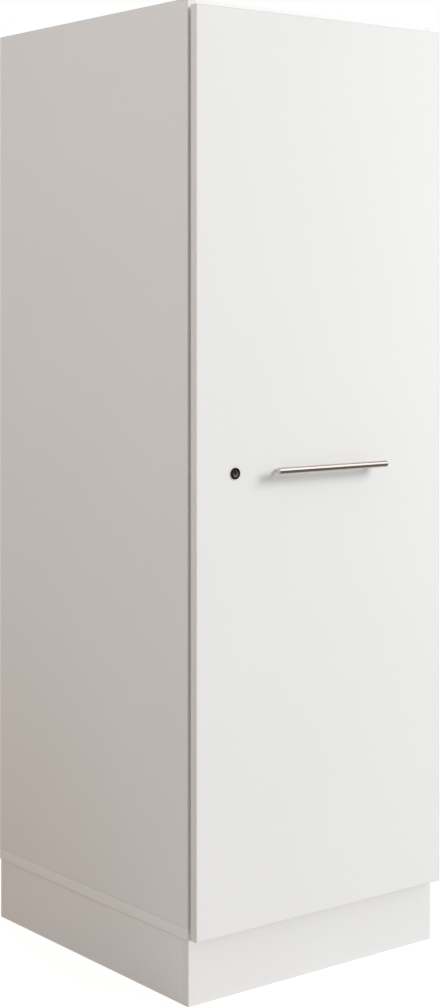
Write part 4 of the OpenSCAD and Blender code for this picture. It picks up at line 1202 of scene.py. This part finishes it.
class CABINET_OT_stage(bpy.types.Operator):
    """Floor, lamps, white surroundings and camera"""

    bl_idname = "cabinet.stage"
    bl_label = "Stage"

    def execute(self, context):
        scene = context.scene
        settings = scene.cabinet_stage
        self.floor(settings)
        self.cards()
        self.key_lamps(settings)
        fill = self.lamp("fill_lamp", "AREA", settings.fill_place)
        fill.size = settings.fill_size
        fill.energy = settings.fill_power
        fill.color = settings.fill_colour
        edge = self.lamp("edge_lamp", "AREA", settings.edge_place)
        edge.shape = "RECTANGLE"
        edge.size = settings.edge_width
        edge.size_y = settings.edge_height
        edge.energy = settings.edge_power
        bpy.data.objects["edge_lamp"].visible_glossy = False
        back = self.lamp("back_lamp", "AREA", settings.back_place)
        back.size = settings.back_size
        back.energy = settings.back_power
        self.surroundings(scene, settings)
        self.camera(scene, settings)
        scene.view_settings.view_transform = "Standard"
        return {"FINISHED"}

    def floor(self, settings):
        """A floor that is seen white, and lights the cabinet in one colour on the left, another in front."""
        material = bpy.data.materials.new("studio_floor")
        add = empty_nodes(material)
        shown = light_paths(add)
        away = vectors(add, "SUBTRACT", add("ShaderNodeTexCoord").outputs["Object"], PATCH_MIDDLE)
        distance = add("ShaderNodeVectorMath", away, operation="LENGTH").outputs["Value"]
        share = ranged(add, distance, *PATCH_FADE, 0.0, 1.0)
        given = blend(add, share, (*settings.left_floor, 1), (*settings.front_floor, 1))
        matt = add("ShaderNodeBsdfDiffuse", blend(add, shown, given, FLOOR_GREY))
        glow = add("ShaderNodeEmission", WHITE, maths(add, "MULTIPLY", shown, FLOOR_GLOW))
        both = add("ShaderNodeAddShader", matt.outputs[0], glow.outputs[0])
        add("ShaderNodeOutputMaterial", both.outputs[0])
        far, z = FLOOR_REACH, -FLOOR_DROP
        corners = [(-far, -far, z), (far, -far, z), (far, far, z), (-far, far, z)]
        stage_sheet("studio_floor", corners, material)

    def cards(self):
        """The face of the key lamp and three dark flags round it, which only reflections see."""
        for name, points in CARDS.items():
            material = bpy.data.materials.new(name)
            add = empty_nodes(material)
            look = (WHITE, LAMP_FACE_GLOW) if name == "lamp_face" else (FLAG_COLOUR, 1.0)
            add("ShaderNodeOutputMaterial", add("ShaderNodeEmission", *look).outputs[0])
            card = stage_sheet(name, points, material)
            for ray in ("camera", "diffuse", "transmission", "shadow"):
                setattr(card, f"visible_{ray}", False)

    def key_lamps(self, settings):
        """The front light, and the same light again for the plinth front, which the door doesn't shade."""
        for name in ("key_lamp", "plinth_lamp"):
            key = self.lamp(name, "SUN", settings.key_place)
            bpy.data.objects[name].visible_glossy = False
            key.angle = settings.key_breadth
            key.energy = settings.key_strength
            key.color = settings.key_colour
        plinth = [NODES["plinth_front"]]
        door = [NODES["door_panel"], bpy.data.objects["door_strip"]]
        self.choose("key_lamp", "receiver", plinth, "EXCLUDE")
        self.choose("plinth_lamp", "receiver", plinth, "INCLUDE")
        self.choose("plinth_lamp", "blocker", door, "EXCLUDE")

    def choose(self, lamp, role, objects, state):
        """Includes or excludes objects as receivers of a lamp's light, or as blockers of it."""
        group = bpy.data.collections.new(f"{lamp}_{role}s")
        for each in objects:
            group.objects.link(each)
        for member in group.collection_objects:
            member.light_linking.link_state = state
        setattr(bpy.data.objects[lamp].light_linking, f"{role}_collection", group)

    def lamp(self, name, kind, place):
        """A soft lamp that faces the middle of the door."""
        light = bpy.data.lights.new(name, kind)
        lamp = bpy.data.objects.new(name, light)
        lamp.location = place
        aim = np.array(LAMP_AIM) - np.array(place)
        tilt = math.atan2(math.hypot(aim[0], aim[1]), -aim[2])
        lamp.rotation_euler = (tilt, 0.0, math.atan2(-aim[0], aim[1]))
        lamp.visible_camera = False
        bpy.context.scene.collection.objects.link(lamp)
        return light

    def surroundings(self, scene, settings):
        """A world that is seen white, and that lights the cabinet evenly from all round."""
        scene.world = bpy.data.worlds.new("studio")
        add = empty_nodes(scene.world)
        strength = blend(add, light_paths(add), settings.ambient, 1.0, "FLOAT")
        add("ShaderNodeOutputWorld", add("ShaderNodeBackground", WHITE, strength).outputs[0])

    def camera(self, scene, settings):
        """A camera with the photograph's view, whose optical centre lies above the frame's middle."""
        data = bpy.data.cameras.new("camera")
        data.sensor_width = SENSOR
        data.lens = SENSOR * FOCAL_PIXELS / PHOTO_HEIGHT
        data.shift_x = (PHOTO_WIDTH / 2 - OPTICAL_CENTRE[0]) / PHOTO_HEIGHT
        data.shift_y = (OPTICAL_CENTRE[1] - PHOTO_HEIGHT / 2) / PHOTO_HEIGHT
        data.clip_start = 0.05
        camera = bpy.data.objects.new("camera", data)
        camera.location = settings.camera_place
        camera.rotation_euler = (math.pi / 2 + settings.camera_pitch, 0.0, -settings.camera_heading)
        scene.collection.objects.link(camera)
        scene.camera = camera


OPERATORS = (
    CABINET_OT_boards,
    CABINET_OT_strips,
    CABINET_OT_handle,
    CABINET_OT_lock,
    CABINET_OT_rods,
    CABINET_OT_hinges,
    CABINET_OT_screws,
    CABINET_OT_fittings,
    CABINET_OT_stage,
)


class CABINET_PT_panel(bpy.types.Panel):
    """Lists the pieces of the cabinet with their sizes and colours"""

    bl_label = "Laundry Cabinet"
    bl_idname = "CABINET_PT_panel"
    bl_space_type = "VIEW_3D"
    bl_region_type = "UI"
    bl_category = "Cabinet"

    def draw(self, context):
        column = self.layout.column()
        for operator in OPERATORS:
            column.operator(operator.bl_idname)
        for settings in (
            context.scene.cabinet_sizes,
            context.scene.cabinet_colours,
            context.scene.cabinet_stage,
        ):
            box = column.box()
            for name in type(settings).__annotations__:
                box.prop(settings, name)


CLASSES = (CabinetSizes, CabinetColours, StageSettings, *OPERATORS, CABINET_PT_panel)


def register():
    """Registers the classes and hangs the settings on the scene."""
    for cls in CLASSES:
        bpy.utils.register_class(cls)
    bpy.types.Scene.cabinet_sizes = PointerProperty(type=CabinetSizes)
    bpy.types.Scene.cabinet_colours = PointerProperty(type=CabinetColours)
    bpy.types.Scene.cabinet_stage = PointerProperty(type=StageSettings)


def unregister():
    """Takes the settings and the classes away again."""
    del bpy.types.Scene.cabinet_stage
    del bpy.types.Scene.cabinet_colours
    del bpy.types.Scene.cabinet_sizes
    for cls in reversed(CLASSES):
        bpy.utils.unregister_class(cls)


def main():
    """Builds every piece in order."""
    register()
    for operator in OPERATORS:
        group, name = operator.bl_idname.split(".")
        getattr(getattr(bpy.ops, group), name)()


if __name__ == "__main__":
    main()
